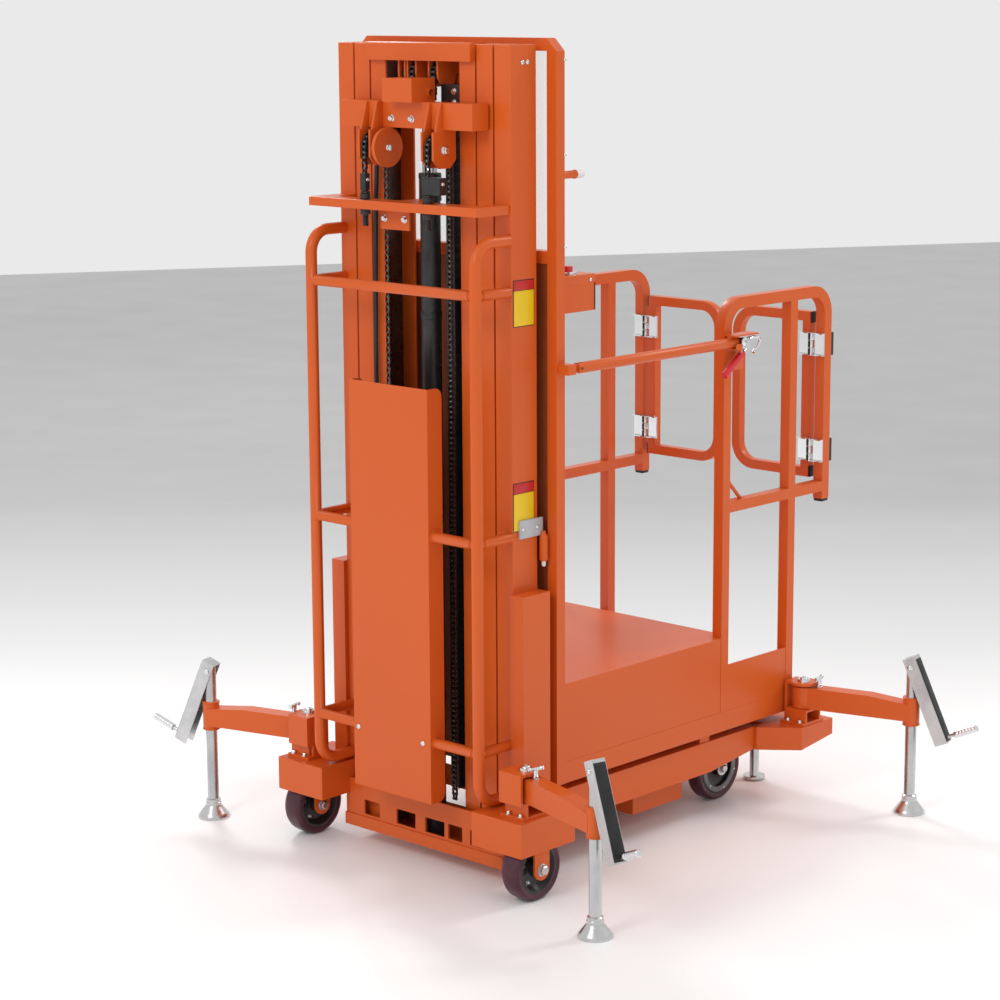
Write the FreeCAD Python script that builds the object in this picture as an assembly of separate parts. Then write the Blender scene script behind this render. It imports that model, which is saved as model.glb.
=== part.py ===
import FreeCAD, Part
import math
import os

# Order picker truck: a wheeled base, a three-section lifting mast at its rear, and a
# platform with a goods deck, an operator's floor and guard rails. Millimetres.
# X runs forward from the mast to the gates, Y to the left, Z up from the floor.
# All X sizes below count from the middle of the four jacks. The finished shapes move
# by X_SHIFT, so that the origin is under the middle of the whole machine.

V = FreeCAD.Vector

# Clearances
SEAT_GAP = 0.3
PIN_GAP = 0.05
SLIDE_GAP = 5.0

# Base
BEAM_FACE = 316.0
BEAM_WALL = 4.0
BEAM_TOP = 213.0
BEAM_REAR_BOTTOM = 127.0
BEAM_FRONT_BOTTOM = 150.0
BEAM_KINK_X = 240.0
BEAM_FLANGE = 30.0

REAR_BLOCK_REAR = -624.0
REAR_BLOCK_FRONT = -430.0
REAR_BLOCK_INNER = 266.0
REAR_BLOCK_OUTER = 431.0
REAR_BLOCK_BOTTOM = 127.0
REAR_BLOCK_WALL = 5.0

FRONT_BLOCK_CHAMFER_X = 426.0
FRONT_BLOCK_CHAMFER_Y = 326.0
FRONT_BLOCK_WING_X = 502.0
FRONT_BLOCK_INNER_X = 472.0
FRONT_BLOCK_FRONT = 642.0
FRONT_BLOCK_OUTER = 420.0
FRONT_BLOCK_BOTTOM = 150.0
FRONT_BLOCK_TIP_RISE = 18.0

CASTER_PLATE_THICK = 8.0
CASTER_PLATE_REAR = 290.0
CASE_PLATE_MARGIN = 12.0
REAR_TUBE_X = -394.0
REAR_TUBE_DEPTH = 30.0
REAR_TUBE_HEIGHT = 45.0

CASE_REAR = 1.0
CASE_FRONT = 203.0
CASE_HALF = 250.0
CASE_BOTTOM = 51.0

REST_PAD = 40.0
REST_PAD_X = (-250.0, 200.0)

# Mast. The three sections share one depth and stand side by side.
MAST_REAR = -499.0
MAST_FRONT = -399.0
OUTER_FRONT = -411.0
MAST_TOP = 2046.0
BASE_BOTTOM = 42.0
BASE_THICK = 8.0
COLUMN_WALL = 6.0
OUTER_IN = 238.0
OUTER_OUT = 291.0
MIDDLE_WIDTH = 52.0
INNER_WIDTH = 51.0
WEAR_PAD_LENGTH = 100.0
WEAR_PAD_DEPTH = 40.0

CROSS_PLATE_X = -525.0
CROSS_PLATE_WALL = 6.0
CROSS_PLATE_INSET = 11.0
CROSS_PLATE_TOP = 168.0
WINDOW_BOTTOM = 80.0
WINDOW_TOP = 119.0
CROSS_LIP = 5.0
CROSS_LIP_TOP = 74.0
# window: left edge in Y, right edge in Y
WINDOWS = ((213.0, 156.0), (95.0, 27.0), (-8.0, -76.0), (-89.0, -138.0), (-165.0, -215.0))

FOOT_BOX_REAR = -510.0
FOOT_BOX_FRONT = -414.0
FOOT_BOX_FACE = 335.0
FOOT_BOX_TOP = 736.0
FOOT_BOX_WALL = 4.0

ANCHOR_PLATE_THICK = 22.0
ANCHOR_PLATE_REAR = -612.0
ANCHOR_PLATE_STRIP = 55.0
ANCHOR_PLATE_HALF = 286.0
ANCHOR_TONGUE_HALF = 20.0
ANCHOR_ROD_R = 7.0
ANCHOR_NUT_R = 13.0
ANCHOR_NUT_HEIGHT = 14.0
ANCHOR_BLOCK_RISE = 22.0
# chain end: sign of Y, block from X, block to X, block from |Y|, block to |Y|
ANCHOR_BLOCKS = ((-1, -602.0, -580.0, 98.0, 157.0), (1, -598.5, -583.5, 98.0, 116.0))
ANCHOR_TAB_X = -563.0
ANCHOR_TAB_WALL = 6.0
ANCHOR_TAB_NEAR = -15.0
ANCHOR_TAB_FAR = 84.0
ANCHOR_TAB_HEIGHT = 50.0

# Rear guard of bent round tube, and the cover panel on it
GUARD_X = -612.0
GUARD_Y = 281.0
GUARD_R = 14.5
GUARD_BEND = 55.0
GUARD_BOTTOM_Z = 230.0
RAIL_R = 13.0
RAIL_LOW_Z = 357.0
RAIL_MIDDLE_Z = 874.0

PANEL_X = -630.0
PANEL_HALF = 135.0
PANEL_DEPTH = 50.0
PANEL_WALL = 3.0
PANEL_BOTTOM = 203.0
PANEL_TOP = 1235.0
PANEL_CORNER = 22.0

# Lift cylinder
CYLINDER_X = -475.0
BARREL_R = 25.0
BARREL_BORE = 20.0
GLAND_R = 27.0
ROD_R = 18.0
ROD_BOTTOM = 150.0

# Cross beam of the middle section, with chain sheaves
LIFT_BEAM_REAR = -560.0
LIFT_BEAM_HEIGHT = 63.0
LIFT_BEAM_PLAY = 1.0
LIFT_BEAM_HALF = 225.0
LIFT_BEAM_PAD = 205.0
LIFT_BEAM_RECESS = 13.0
BRACKET_BOX_REAR = -585.0
BRACKET_BOX_HALF = 50.0
BRACKET_BOX_HEIGHT = 56.0
BRACKET_HOLE_X = -521.0
BRACKET_HOLE_RISE = 22.0
BRACKET_HOLE_R = 8.5
ROD_PLATE_THICK = 15.0
ROD_PLATE_MARGIN = 7.0

SHEAVE_X = -554.0
SHEAVE_Y = 107.0
SHEAVE_R = 33.0
SHEAVE_BORE = 9.0
CHAIN_WIDTH = 17.0
CHAIN_THICK = 8.0
SHEAVE_PLATE = 6.0
SHEAVE_PLATE_GAP = 7.0
SHEAVE_PLATE_HALF = 38.0
SHEAVE_PLATE_DROP = 43.0
SHEAVE_PLATE_CORNER = 20.0
DISC_R = 48.0
DISC_WALL = 10.0
DISC_GAP = 14.0

# Head of the inner section
HEAD_BEAM_HEIGHT = 44.0
HEAD_BEAM_DEPTH = 17.0
HEAD_PLATE_THICK = 10.0
HEAD_PLATE_FRONT = -420.0
HEAD_SHEAVE_X = -466.0
HEAD_SHEAVE_Y = 36.0
HEAD_SHEAVE_R = 26.0
HEAD_CHAIN_WIDTH = 20.0
HEAD_PLATE_WALL = 5.0
HEAD_PLATE_GAP = 2.0
HEAD_PLATE_R = 32.0
HOSE_SHEAVE_Y = 70.0
HOSE_SHEAVE_WIDTH = 12.0
HEAD_WALL_X = -428.0
HEAD_WALL_THICK = 4.0
HEAD_BEAM_ROUND = 8.0
HEAD_CHAIN_BOTTOM = 300.0
CARRIER_X = -470.0
CARRIER_DEPTH = 30.0
CARRIER_NEAR = -90.0
CARRIER_FAR = -62.0
CARRIER_BOTTOM = 200.0
CARRIER_PLATE_REAR = -492.0
CARRIER_PLATE_FRONT = -458.0
CARRIER_PLATE_HEIGHT = 58.0
CARRIER_PLATE_FAR = -56.0
FOOT_TIE_FRONT = -420.0
FOOT_TIE_WALL = 8.0
FOOT_TIE_HEIGHT = 80.0

# Platform
PLATFORM_HALF = 333.0
PLATFORM_REAR = -358.0
PLATFORM_FRONT = 570.0
PLATFORM_BOTTOM = 236.0
FLOOR_TOP = 291.0
SHEET = 4.0
DECK_TOP = 492.0
DECK_FRONT = 300.0
LIP = 35.0

TUBE = 30.0
POST_FACE = 334.0
GOALPOST_REAR = -388.0
GOALPOST_CHAMFER = 30.0
SHEET_TOP = 1528.0
BACK_SHEET_X = -380.0
BACK_SHEET_WALL = 3.0
SHIELD_WALL = 4.0

CARRIAGE_REAR = -412.0
CARRIAGE_INNER = 95.0
CARRIAGE_BOTTOM = 235.0
CARRIAGE_TOP = 1100.0

# Guard frames at both sides of the operator's floor
MID_POST_X = 273.0
SIDE_POST_X = 555.0
END_POST_X = 706.0
GUARD_TOP = 1388.0
END_POST_BOTTOM = 803.0
MID_RAIL_TOP = 853.0
MID_RAIL_HEIGHT = 28.0
GUARD_CORNER = 62.0
TOE_TOP = 415.0
TOE_WALL = 4.0
BRACE_RISE = 62.0
BRACE_R = 5.0
BUMPER_WALL = 10.0
BUMPER_WIDTH = 16.0

# Gates
GATE_TUBE = 26.0
GATE_INNER_EDGE = 20.0
GATE_OUTER_EDGE = 285.0
GATE_TOP = 1312.0
GATE_BOTTOM = 858.0
GATE_CORNER = 60.0
HINGE_Y = 292.0
HINGE_R = 7.0
HINGE_PIN_R = 4.0
HINGE_Z = (936.0, 1226.0)
HINGE_HEIGHT = 62.0
HINGE_KNUCKLE_GAP = 0.5
HINGE_LEAF = 3.0
HINGE_LEAF_LENGTH = 42.0
HINGE_LEAF_START = 10.0

# Drop bars at the side entries
BAR_Z = 1276.0
BAR_R = 13.5
BAR_PIN_X = -331.0
BAR_PIN_R = 4.0
BAR_TONGUE = 10.0
BAR_TONGUE_R = 9.0
BAR_SLOT_GAP = 0.5
BAR_BLOCK_HALF = 12.5
BAR_BLOCK_START = 8.0
BAR_BLOCK_BEHIND = 21.0
BAR_TUBE_BEHIND = 7.0
BAR_END_GAP = 7.0
BAR_CATCH_BEHIND = 31.0
BAR_CATCH_AHEAD = 64.0
BAR_CATCH_WIDTH = 38.0
BAR_CATCH_WALL = 4.0
BAR_CATCH_RISE = 8.5
CRADLE_LENGTH = 24.0
CRADLE_WALL = 4.0
CRADLE_RISE = 12.0
CRADLE_PLAY = 2.0

# Control box and latch
CONTROL_FRONT = -205.0
CONTROL_RIGHT = -295.0
CONTROL_LEFT = -190.0
CONTROL_BOTTOM = 1401.0
CONTROL_TOP = 1487.0
STOP_R = 11.0
STOP_HEIGHT = 24.0
STOP_DEPTH = 10.0
STOP_AHEAD = 90.0
STOP_INSET = 30.0
LATCH_PLATE = 3.0
LATCH_HEIGHT = 40.0
LATCH_BODY_LENGTH = 34.0
LATCH_BODY_WIDTH = 28.0
LATCH_BODY_HEIGHT = 30.0
LATCH_LEVER_WALL = 8.0
LATCH_LEVER_DEPTH = 14.0
LATCH_LEVER_DROP = 44.0
LATCH_HANDLE_R = 9.5
LATCH_HANDLE_REACH = 74.0
LATCH_HANDLE_DROP = 51.0

# Outriggers with jacks
JACK_X = 638.0
JACK_Y = 678.0
PIVOT_X = 556.0
PIVOT_Y = 384.0
BRACKET_BASE = 8.0
BRACKET_BASE_SIZE = 92.0
STOOL_HALF = 33.0
STOOL_WALL = 6.0
ARM_BOTTOM = 256.0
ARM_TOP = 314.0
ARM_TIP_TOP = 302.0
ARM_ELBOW = 0.62
ARM_WIDTH = 46.0
ARM_PLAY = 1.0
EAR_PLAY = 5.0
HUB_R = 30.0
PIVOT_R = 12.5
EAR_R = 36.0
EAR_THICK = 8.0
PIVOT_HEAD_R = 17.0
PIVOT_HEAD = 7.0
BACK_PLATE = 8.0
BACK_PLATE_HALF = 27.0
SIDE_PLATE_SETBACK = 36.0
REAR_PLATE_SETBACK = 40.0
SLEEVE_R = 22.0
SLEEVE_BOTTOM = 243.0
SLEEVE_TOP = 320.0
LOCK_PIN_OFFSET = 44.0
LOCK_PIN_R = 6.0
LOCK_PIN_RISE = 26.0
LOCK_BAR_HALF = 17.0
LOCK_BAR_R = 4.5

LEG_R = 15.0
LEG_TOP = 422.0
FOOT_R = 42.0
FOOT_RIM = 6.0
FOOT_CONE = 30.0
COLLAR_R = 19.0
COLLAR_HEIGHT = 14.0
CRANK_PIN_Z = 403.0
CRANK_DEPTH = 36.0
CRANK_SIDE_GAP = 0.5
CRANK_WALL = 2.5
CRANK_BEHIND = 13.0
CRANK_ABOVE = 25.0
CRANK_BELOW = 220.0
CRANK_TILT = 23.0
CRANK_PIN_R = 5.0
GRIP_NECK_R = 5.0
GRIP_NECK = 22.0
GRIP_R = 9.0
GRIP_LENGTH = 62.0
GRIP_FROM_END = 14.0

# Wheels: rear ones in fixed forks, front ones in swivelling forks
REAR_WHEEL_X = -543.0
REAR_WHEEL_Y = 388.0
REAR_WHEEL_R = 80.0
REAR_WHEEL_WIDTH = 56.0
REAR_FORK_HALF = 26.0
FRONT_WHEEL_X = 388.0
FRONT_WHEEL_Y = 208.0
FRONT_WHEEL_R = 90.0
FRONT_WHEEL_WIDTH = 46.0
FRONT_FORK_HALF = 20.0
FRONT_TRAIL = 20.0
TREAD = 18.0
RIM_LIP = 8.0
TREAD_EDGE = 4.0
AXLE_R = 8.0
HUB_WIDTH_EXTRA = 4.0
WHEEL_HUB_R = 22.0
WHEEL_WEB = 14.0
FORK_WALL = 6.0
FORK_GAP = 1.0
FORK_CROWN = 8.0
CROWN_EXTRA = 8.0
SWIVEL_RING_R = 34.0
CASTER_CROWN_GAP = 5.0
KINGPIN_R = 9.0

# Two support feet under the front block
FRONT_FOOT_X = 604.0
FRONT_FOOT_Y = 182.0
FRONT_FOOT_ROD_R = 13.0
FRONT_FOOT_R = 30.0
FRONT_FOOT_THICK = 8.0
FRONT_FOOT_LIFT = 3.0

# Heights measured down or up from the mast's top, and from what hangs there
LIFT_BEAM_DROP = 136.0
SHEAVE_DROP = 48.0
ANCHOR_PLATE_DROP = 147.0
ANCHOR_BLOCK_REACH = 85.0
ANCHOR_ROD_DROP = 42.0
GLAND_RISE = 84.0
GLAND_HEIGHT = 60.0
BARREL_DROP = 46.0
REAR_GUARD_DROP = 62.0
TOP_RAIL_DROP = 122.0
HEAD_BEAM_RISE = 4.0
HEAD_SHEAVE_DROP = 71.0
HEAD_WALL_DROP = 101.0
CARRIER_DROP = 95.0
GOALPOST_RISE = 14.0

# Sizes that follow
CROSS_PLATE_HALF = OUTER_OUT - CROSS_PLATE_INSET
MIDDLE_OUT = OUTER_IN - SLIDE_GAP
MIDDLE_IN = MIDDLE_OUT - MIDDLE_WIDTH
INNER_OUT = MIDDLE_IN - SLIDE_GAP
INNER_IN = INNER_OUT - INNER_WIDTH
BASE_TOP = BASE_BOTTOM + BASE_THICK
SECTION_BOTTOM = BASE_TOP + SEAT_GAP
LIFT_BEAM_FRONT = MAST_REAR - SLIDE_GAP - LIFT_BEAM_PLAY
LIFT_BEAM_TOP = MAST_TOP - LIFT_BEAM_DROP
LIFT_BEAM_BOTTOM = LIFT_BEAM_TOP - LIFT_BEAM_HEIGHT
SHEAVE_Z = LIFT_BEAM_BOTTOM - SHEAVE_DROP
ANCHOR_PLATE_BOTTOM = SHEAVE_Z - ANCHOR_PLATE_DROP
ANCHOR_BLOCK_TOP = ANCHOR_PLATE_BOTTOM + ANCHOR_BLOCK_REACH
ANCHOR_ROD_BOTTOM = ANCHOR_PLATE_BOTTOM - ANCHOR_ROD_DROP
GLAND_TOP = ANCHOR_PLATE_BOTTOM + GLAND_RISE
GLAND_BOTTOM = GLAND_TOP - GLAND_HEIGHT
BARREL_TOP = GLAND_TOP - BARREL_DROP
GUARD_TOP_Z = ANCHOR_PLATE_BOTTOM - REAR_GUARD_DROP
RAIL_Z = (RAIL_LOW_Z, RAIL_MIDDLE_Z, GUARD_TOP_Z - TOP_RAIL_DROP)
HEAD_BEAM_TOP = MAST_TOP + HEAD_BEAM_RISE
HEAD_BEAM_BOTTOM = HEAD_BEAM_TOP - HEAD_BEAM_HEIGHT
HEAD_SHEAVE_Z = MAST_TOP - HEAD_SHEAVE_DROP
HEAD_WALL_BOTTOM = MAST_TOP - HEAD_WALL_DROP
CARRIER_TOP = MAST_TOP - CARRIER_DROP
GOALPOST_TOP = MAST_TOP + GOALPOST_RISE
CHAIN_BOTTOM = CROSS_PLATE_TOP + 2 * SLIDE_GAP
CHAIN_R = SHEAVE_R + CHAIN_THICK / 2
HEAD_CHAIN_R = HEAD_SHEAVE_R + CHAIN_THICK / 2
POST_AXIS = POST_FACE - TUBE / 2
BAR_Y = POST_FACE + SLIDE_GAP + BAR_R
BAR_END = MID_POST_X + TUBE / 2 - BAR_END_GAP
CATCH_TOP = BAR_Z + BAR_R + BAR_CATCH_RISE
END_POST_FRONT = END_POST_X + TUBE / 2
GATE_REAR = END_POST_X - TUBE / 2
HINGE_X = GATE_REAR - HINGE_R
BEAM_INNER = BEAM_FACE - BEAM_WALL
ARM_RUN_X = JACK_X - PIVOT_X
ARM_RUN_Y = JACK_Y - PIVOT_Y
ARM_LENGTH = math.hypot(ARM_RUN_X, ARM_RUN_Y)
ARM_ANGLE = math.degrees(math.atan2(ARM_RUN_X, ARM_RUN_Y))
FRONT_END = END_POST_FRONT + BUMPER_WALL
REAR_END = -JACK_X - FOOT_R
X_SHIFT = -(FRONT_END + REAR_END) / 2

# sheaves in the mast's head: middle in Y, width
HEAD_SHEAVES = ((-HEAD_SHEAVE_Y, HEAD_CHAIN_WIDTH), (HEAD_SHEAVE_Y, HEAD_CHAIN_WIDTH),
                (HOSE_SHEAVE_Y, HOSE_SHEAVE_WIDTH))

# corner of the base: name, sign of X, sign of Y
CORNERS = (("rear_right", -1, -1), ("rear_left", -1, 1), ("front_right", 1, -1), ("front_left", 1, 1))
SIDES = (("right", -1), ("left", 1))


def box(x0, x1, y0, y1, z0, z1):
    """A block between two values on each axis, in any order."""
    low = V(min(x0, x1), min(y0, y1), min(z0, z1))
    return Part.makeBox(abs(x1 - x0), abs(y1 - y0), abs(z1 - z0), low)


def rod(start, end, radius):
    """A round bar between two points."""
    run = end - start
    return Part.makeCylinder(radius, run.Length, start, run)


def post(x, y, z0, z1, radius):
    """An upright round bar."""
    return rod(V(x, y, z0), V(x, y, z1), radius)


def prism(points, run):
    """A flat outline swept along a vector."""
    outline = Part.makePolygon(list(points) + [points[0]])
    return Part.Face(outline).extrude(run)


def fuse(shapes):
    """One solid from pieces that touch."""
    return shapes[0].multiFuse(shapes[1:]).removeSplitter()


def both_sides(shape):
    """A shape of the left side, and its mirror image at the right."""
    return [shape, shape.mirror(V(0, 0, 0), V(0, 1, 0))]


def to_side(shape, side):
    """A shape drawn at the left side, moved to the side of the given sign."""
    if side > 0:
        return shape
    return shape.mirror(V(0, 0, 0), V(0, 1, 0))


def corner_arc(before, corner, after, radius):
    """The arc that rounds a square corner, with its start and end."""
    start = corner + (before - corner).normalize() * radius
    end = corner + (after - corner).normalize() * radius
    centre = start + (after - corner).normalize() * radius
    middle = centre + (corner - centre).normalize() * radius
    return start, middle, end


def bent_path(points, radius):
    """A path of straight runs whose corners are rounded."""
    edges = []
    here = points[0]
    for before, corner, after in zip(points, points[1:], points[2:]):
        start, middle, end = corner_arc(before, corner, after, radius)
        edges.append(Part.LineSegment(here, start).toShape())
        edges.append(Part.Arc(start, middle, end).toShape())
        here = end
    edges.append(Part.LineSegment(here, points[-1]).toShape())
    return Part.Wire(edges)


def round_tube(points, bend, radius):
    """A bent bar of round section."""
    path = bent_path(points, bend)
    ring = Part.Wire([Part.makeCircle(radius, points[0], points[1] - points[0])])
    return path.makePipeShell([ring], True, True)


def square_tube(points, bend, width, across):
    """A bent bar of square section; across is the direction square to its plane."""
    path = bent_path(points, bend)
    ahead = (points[1] - points[0]).normalize()
    beside = ahead.cross(across)
    half = width / 2
    corners = [points[0] + across * a * half + beside * b * half
               for a, b in ((1, 1), (1, -1), (-1, -1), (-1, 1))]
    section = Part.makePolygon(corners + [corners[0]])
    return path.makePipeShell([section], True, True)


def column(inside, outside, front, bottom, open_to_centre):
    """One mast column at the left: a box tube, or a channel that opens to the centre."""
    shell = box(MAST_REAR, front, inside, outside, bottom, MAST_TOP)
    hollow_from = inside + COLUMN_WALL
    if open_to_centre:
        hollow_from = inside - COLUMN_WALL
    hollow = box(MAST_REAR + COLUMN_WALL, front - COLUMN_WALL,
                 hollow_from, outside - COLUMN_WALL, bottom - 1, MAST_TOP + 1)
    return shell.cut(hollow)


def wear_pad(face, gap_face, bottom):
    """A slide pad on a column's face that almost reaches the next column."""
    middle = (MAST_REAR + MAST_FRONT) / 2
    reach = gap_face - math.copysign(SEAT_GAP, gap_face - face)
    return box(middle - WEAR_PAD_DEPTH / 2, middle + WEAR_PAD_DEPTH / 2,
               face, reach, bottom, bottom + WEAR_PAD_LENGTH)


def side_beam():
    """Left side beam: a deep plate whose bottom rises to the front, with a top flange."""
    y = BEAM_INNER
    outline = [V(REAR_BLOCK_FRONT, y, BEAM_TOP), V(REAR_BLOCK_FRONT, y, BEAM_REAR_BOTTOM),
               V(BEAM_KINK_X, y, BEAM_REAR_BOTTOM), V(FRONT_BLOCK_CHAMFER_X, y, BEAM_FRONT_BOTTOM),
               V(FRONT_BLOCK_CHAMFER_X, y, BEAM_TOP)]
    plate = prism(outline, V(0, BEAM_WALL, 0))
    flange = box(MAST_FRONT + SEAT_GAP, FRONT_BLOCK_CHAMFER_X, BEAM_INNER - BEAM_FLANGE, BEAM_INNER,
                 BEAM_TOP - BEAM_WALL, BEAM_TOP)
    pads = [box(x, x + REST_PAD, BEAM_INNER - BEAM_FLANGE, BEAM_INNER,
                BEAM_TOP, PLATFORM_BOTTOM - SEAT_GAP) for x in REST_PAD_X]
    return fuse([plate, flange] + pads)


def rear_block():
    """Left rear block: a box that opens downwards over the wheel."""
    shell = box(REAR_BLOCK_REAR, REAR_BLOCK_FRONT, REAR_BLOCK_INNER, REAR_BLOCK_OUTER,
                REAR_BLOCK_BOTTOM, BEAM_TOP)
    wall = REAR_BLOCK_WALL
    hollow = box(REAR_BLOCK_REAR + wall, REAR_BLOCK_FRONT - wall, REAR_BLOCK_INNER + wall,
                 REAR_BLOCK_OUTER - wall, REAR_BLOCK_BOTTOM - 1, BEAM_TOP - wall)
    mast = box(MAST_REAR, MAST_FRONT, OUTER_IN, OUTER_OUT, BASE_BOTTOM, MAST_TOP)
    return shell.cut(hollow).cut(mast)


def front_block():
    """Cross box at the front, with a wing at each side that carries an outrigger."""
    right = [V(FRONT_BLOCK_INNER_X, -BEAM_INNER, FRONT_BLOCK_BOTTOM),
             V(FRONT_BLOCK_CHAMFER_X, -BEAM_INNER, FRONT_BLOCK_BOTTOM),
             V(FRONT_BLOCK_CHAMFER_X, -FRONT_BLOCK_CHAMFER_Y, FRONT_BLOCK_BOTTOM),
             V(FRONT_BLOCK_WING_X, -FRONT_BLOCK_OUTER, FRONT_BLOCK_BOTTOM),
             V(FRONT_BLOCK_FRONT, -FRONT_BLOCK_OUTER, FRONT_BLOCK_BOTTOM)]
    left = [V(p.x, -p.y, p.z) for p in reversed(right)]
    block = prism(right + left, V(0, 0, BEAM_TOP - FRONT_BLOCK_BOTTOM))
    half = FRONT_BLOCK_OUTER + 1
    under = prism([V(FRONT_BLOCK_WING_X, -half, FRONT_BLOCK_BOTTOM),
                   V(FRONT_BLOCK_FRONT, -half, FRONT_BLOCK_BOTTOM + FRONT_BLOCK_TIP_RISE),
                   V(FRONT_BLOCK_FRONT, -half, FRONT_BLOCK_BOTTOM)], V(0, 2 * half, 0))
    return block.cut(under)


def cross_members():
    """Caster plate, case plate and rear tube between the side beams."""
    plate_bottom = BEAM_TOP - BEAM_WALL - CASTER_PLATE_THICK
    caster_plate = box(CASTER_PLATE_REAR, FRONT_BLOCK_INNER_X, -BEAM_INNER, BEAM_INNER,
                       plate_bottom, BEAM_TOP - BEAM_WALL)
    for side in (-1, 1):
        hole = post(FRONT_WHEEL_X - FRONT_TRAIL, side * FRONT_WHEEL_Y,
                    plate_bottom - 1, BEAM_TOP, KINGPIN_R + PIN_GAP)
        caster_plate = caster_plate.cut(hole)
    case_plate = box(CASE_REAR - CASE_PLATE_MARGIN, CASE_FRONT + CASE_PLATE_MARGIN,
                     -BEAM_INNER, BEAM_INNER, plate_bottom, BEAM_TOP - BEAM_WALL)
    tube_top = BEAM_TOP - BEAM_WALL
    rear_tube = box(REAR_TUBE_X, REAR_TUBE_X + REAR_TUBE_DEPTH, -BEAM_INNER, BEAM_INNER,
                    tube_top - REAR_TUBE_HEIGHT, tube_top)
    return Part.Compound([caster_plate, case_plate, rear_tube])


def battery_case():
    """Case that hangs under the base between the side beams."""
    top = BEAM_TOP - BEAM_WALL - CASTER_PLATE_THICK
    return box(CASE_REAR, CASE_FRONT, -CASE_HALF, CASE_HALF, CASE_BOTTOM, top)


def outer_mast():
    """The fixed columns, each with a slide pad near its top."""
    tube = column(OUTER_IN, OUTER_OUT, OUTER_FRONT, BASE_TOP, False)
    pad = wear_pad(OUTER_IN, MIDDLE_OUT, MAST_TOP - 2 * WEAR_PAD_LENGTH)
    return Part.Compound(both_sides(fuse([tube, pad])))


def mast_floor():
    """Floor plate under the mast."""
    floor = box(CROSS_PLATE_X + CROSS_PLATE_WALL, MAST_FRONT, -CROSS_PLATE_HALF, CROSS_PLATE_HALF,
                BASE_BOTTOM, BASE_TOP)
    wing = box(MAST_REAR, MAST_FRONT, -OUTER_OUT, OUTER_OUT, BASE_BOTTOM, BASE_TOP)
    return fuse([floor, wing])


def cross_plate():
    """Upright plate with windows behind the mast's floor, with a lip at its foot."""
    plate = box(CROSS_PLATE_X, CROSS_PLATE_X + CROSS_PLATE_WALL, -CROSS_PLATE_HALF, CROSS_PLATE_HALF,
                BASE_BOTTOM, CROSS_PLATE_TOP)
    for left, right in WINDOWS:
        plate = plate.cut(box(CROSS_PLATE_X - 1, CROSS_PLATE_X + CROSS_PLATE_WALL + 1,
                              left, right, WINDOW_BOTTOM, WINDOW_TOP))
    for side in (-1, 1):
        plate = plate.cut(box(REAR_BLOCK_REAR, REAR_BLOCK_FRONT, side * REAR_BLOCK_INNER,
                              side * REAR_BLOCK_OUTER, REAR_BLOCK_BOTTOM, BEAM_TOP))
    lip = box(CROSS_PLATE_X - CROSS_LIP, CROSS_PLATE_X, -CROSS_PLATE_HALF, CROSS_PLATE_HALF,
              BASE_BOTTOM, CROSS_LIP_TOP)
    return fuse([plate, lip])


def mast_foot_box():
    """Left box beside the mast's foot, open at its bottom."""
    shell = box(FOOT_BOX_REAR, FOOT_BOX_FRONT, OUTER_OUT, FOOT_BOX_FACE, BEAM_TOP, FOOT_BOX_TOP)
    wall = FOOT_BOX_WALL
    hollow = box(FOOT_BOX_REAR + wall, FOOT_BOX_FRONT - wall, OUTER_OUT + wall, FOOT_BOX_FACE - wall,
                 BEAM_TOP - 1, FOOT_BOX_TOP - wall)
    foot = shell.cut(hollow)
    # notches around the guard's two lowest tubes
    for z, radius in ((GUARD_BOTTOM_Z, GUARD_R), (RAIL_Z[0], RAIL_R)):
        foot = foot.cut(rod(V(GUARD_X, GUARD_Y, z), V(MAST_REAR, GUARD_Y, z), radius + SEAT_GAP))
    return foot


def anchor_plate():
    """Bar across the rear of the fixed mast that takes the lift chains' ends."""
    bottom = ANCHOR_PLATE_BOTTOM
    top = bottom + ANCHOR_PLATE_THICK
    inner_x = ANCHOR_PLATE_REAR + ANCHOR_PLATE_STRIP
    pieces = [box(ANCHOR_PLATE_REAR, inner_x, -ANCHOR_PLATE_HALF, ANCHOR_PLATE_HALF, bottom, top)]
    pieces.append(box(inner_x, CYLINDER_X - BARREL_R - SEAT_GAP,
                      -ANCHOR_TONGUE_HALF, ANCHOR_TONGUE_HALF, bottom, top))
    for side in (-1, 1):
        pieces.append(box(inner_x, MAST_REAR, side * OUTER_IN, side * ANCHOR_PLATE_HALF, bottom, top))
    # a tab that hangs from the bar's front edge
    pieces.append(box(ANCHOR_TAB_X, ANCHOR_TAB_X + ANCHOR_TAB_WALL, ANCHOR_TAB_NEAR, ANCHOR_TAB_FAR,
                      bottom - ANCHOR_TAB_HEIGHT, bottom))
    plate = fuse(pieces)
    hole_r = ANCHOR_ROD_R + PIN_GAP
    for side in (-1, 1):
        plate = plate.cut(post(SHEAVE_X - CHAIN_R, side * SHEAVE_Y, bottom - 1, top + 1, hole_r))
    return plate


def chain_anchors():
    """Threaded rods through the anchor bar, with nuts below and a block for the chain's end."""
    x = SHEAVE_X - CHAIN_R
    plate_top = ANCHOR_PLATE_BOTTOM + ANCHOR_PLATE_THICK
    anchors = []
    for side, x0, x1, y0, y1 in ANCHOR_BLOCKS:
        y = side * SHEAVE_Y
        anchors.append(fuse([
            post(x, y, ANCHOR_ROD_BOTTOM, ANCHOR_BLOCK_TOP, ANCHOR_ROD_R),
            post(x, y, plate_top, plate_top + ANCHOR_NUT_HEIGHT, ANCHOR_NUT_R),
            post(x, y, ANCHOR_PLATE_BOTTOM - ANCHOR_NUT_HEIGHT, ANCHOR_PLATE_BOTTOM, ANCHOR_NUT_R),
            box(x0, x1, side * y0, side * y1, plate_top + ANCHOR_BLOCK_RISE, ANCHOR_BLOCK_TOP)]))
    return Part.Compound(anchors)


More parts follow.
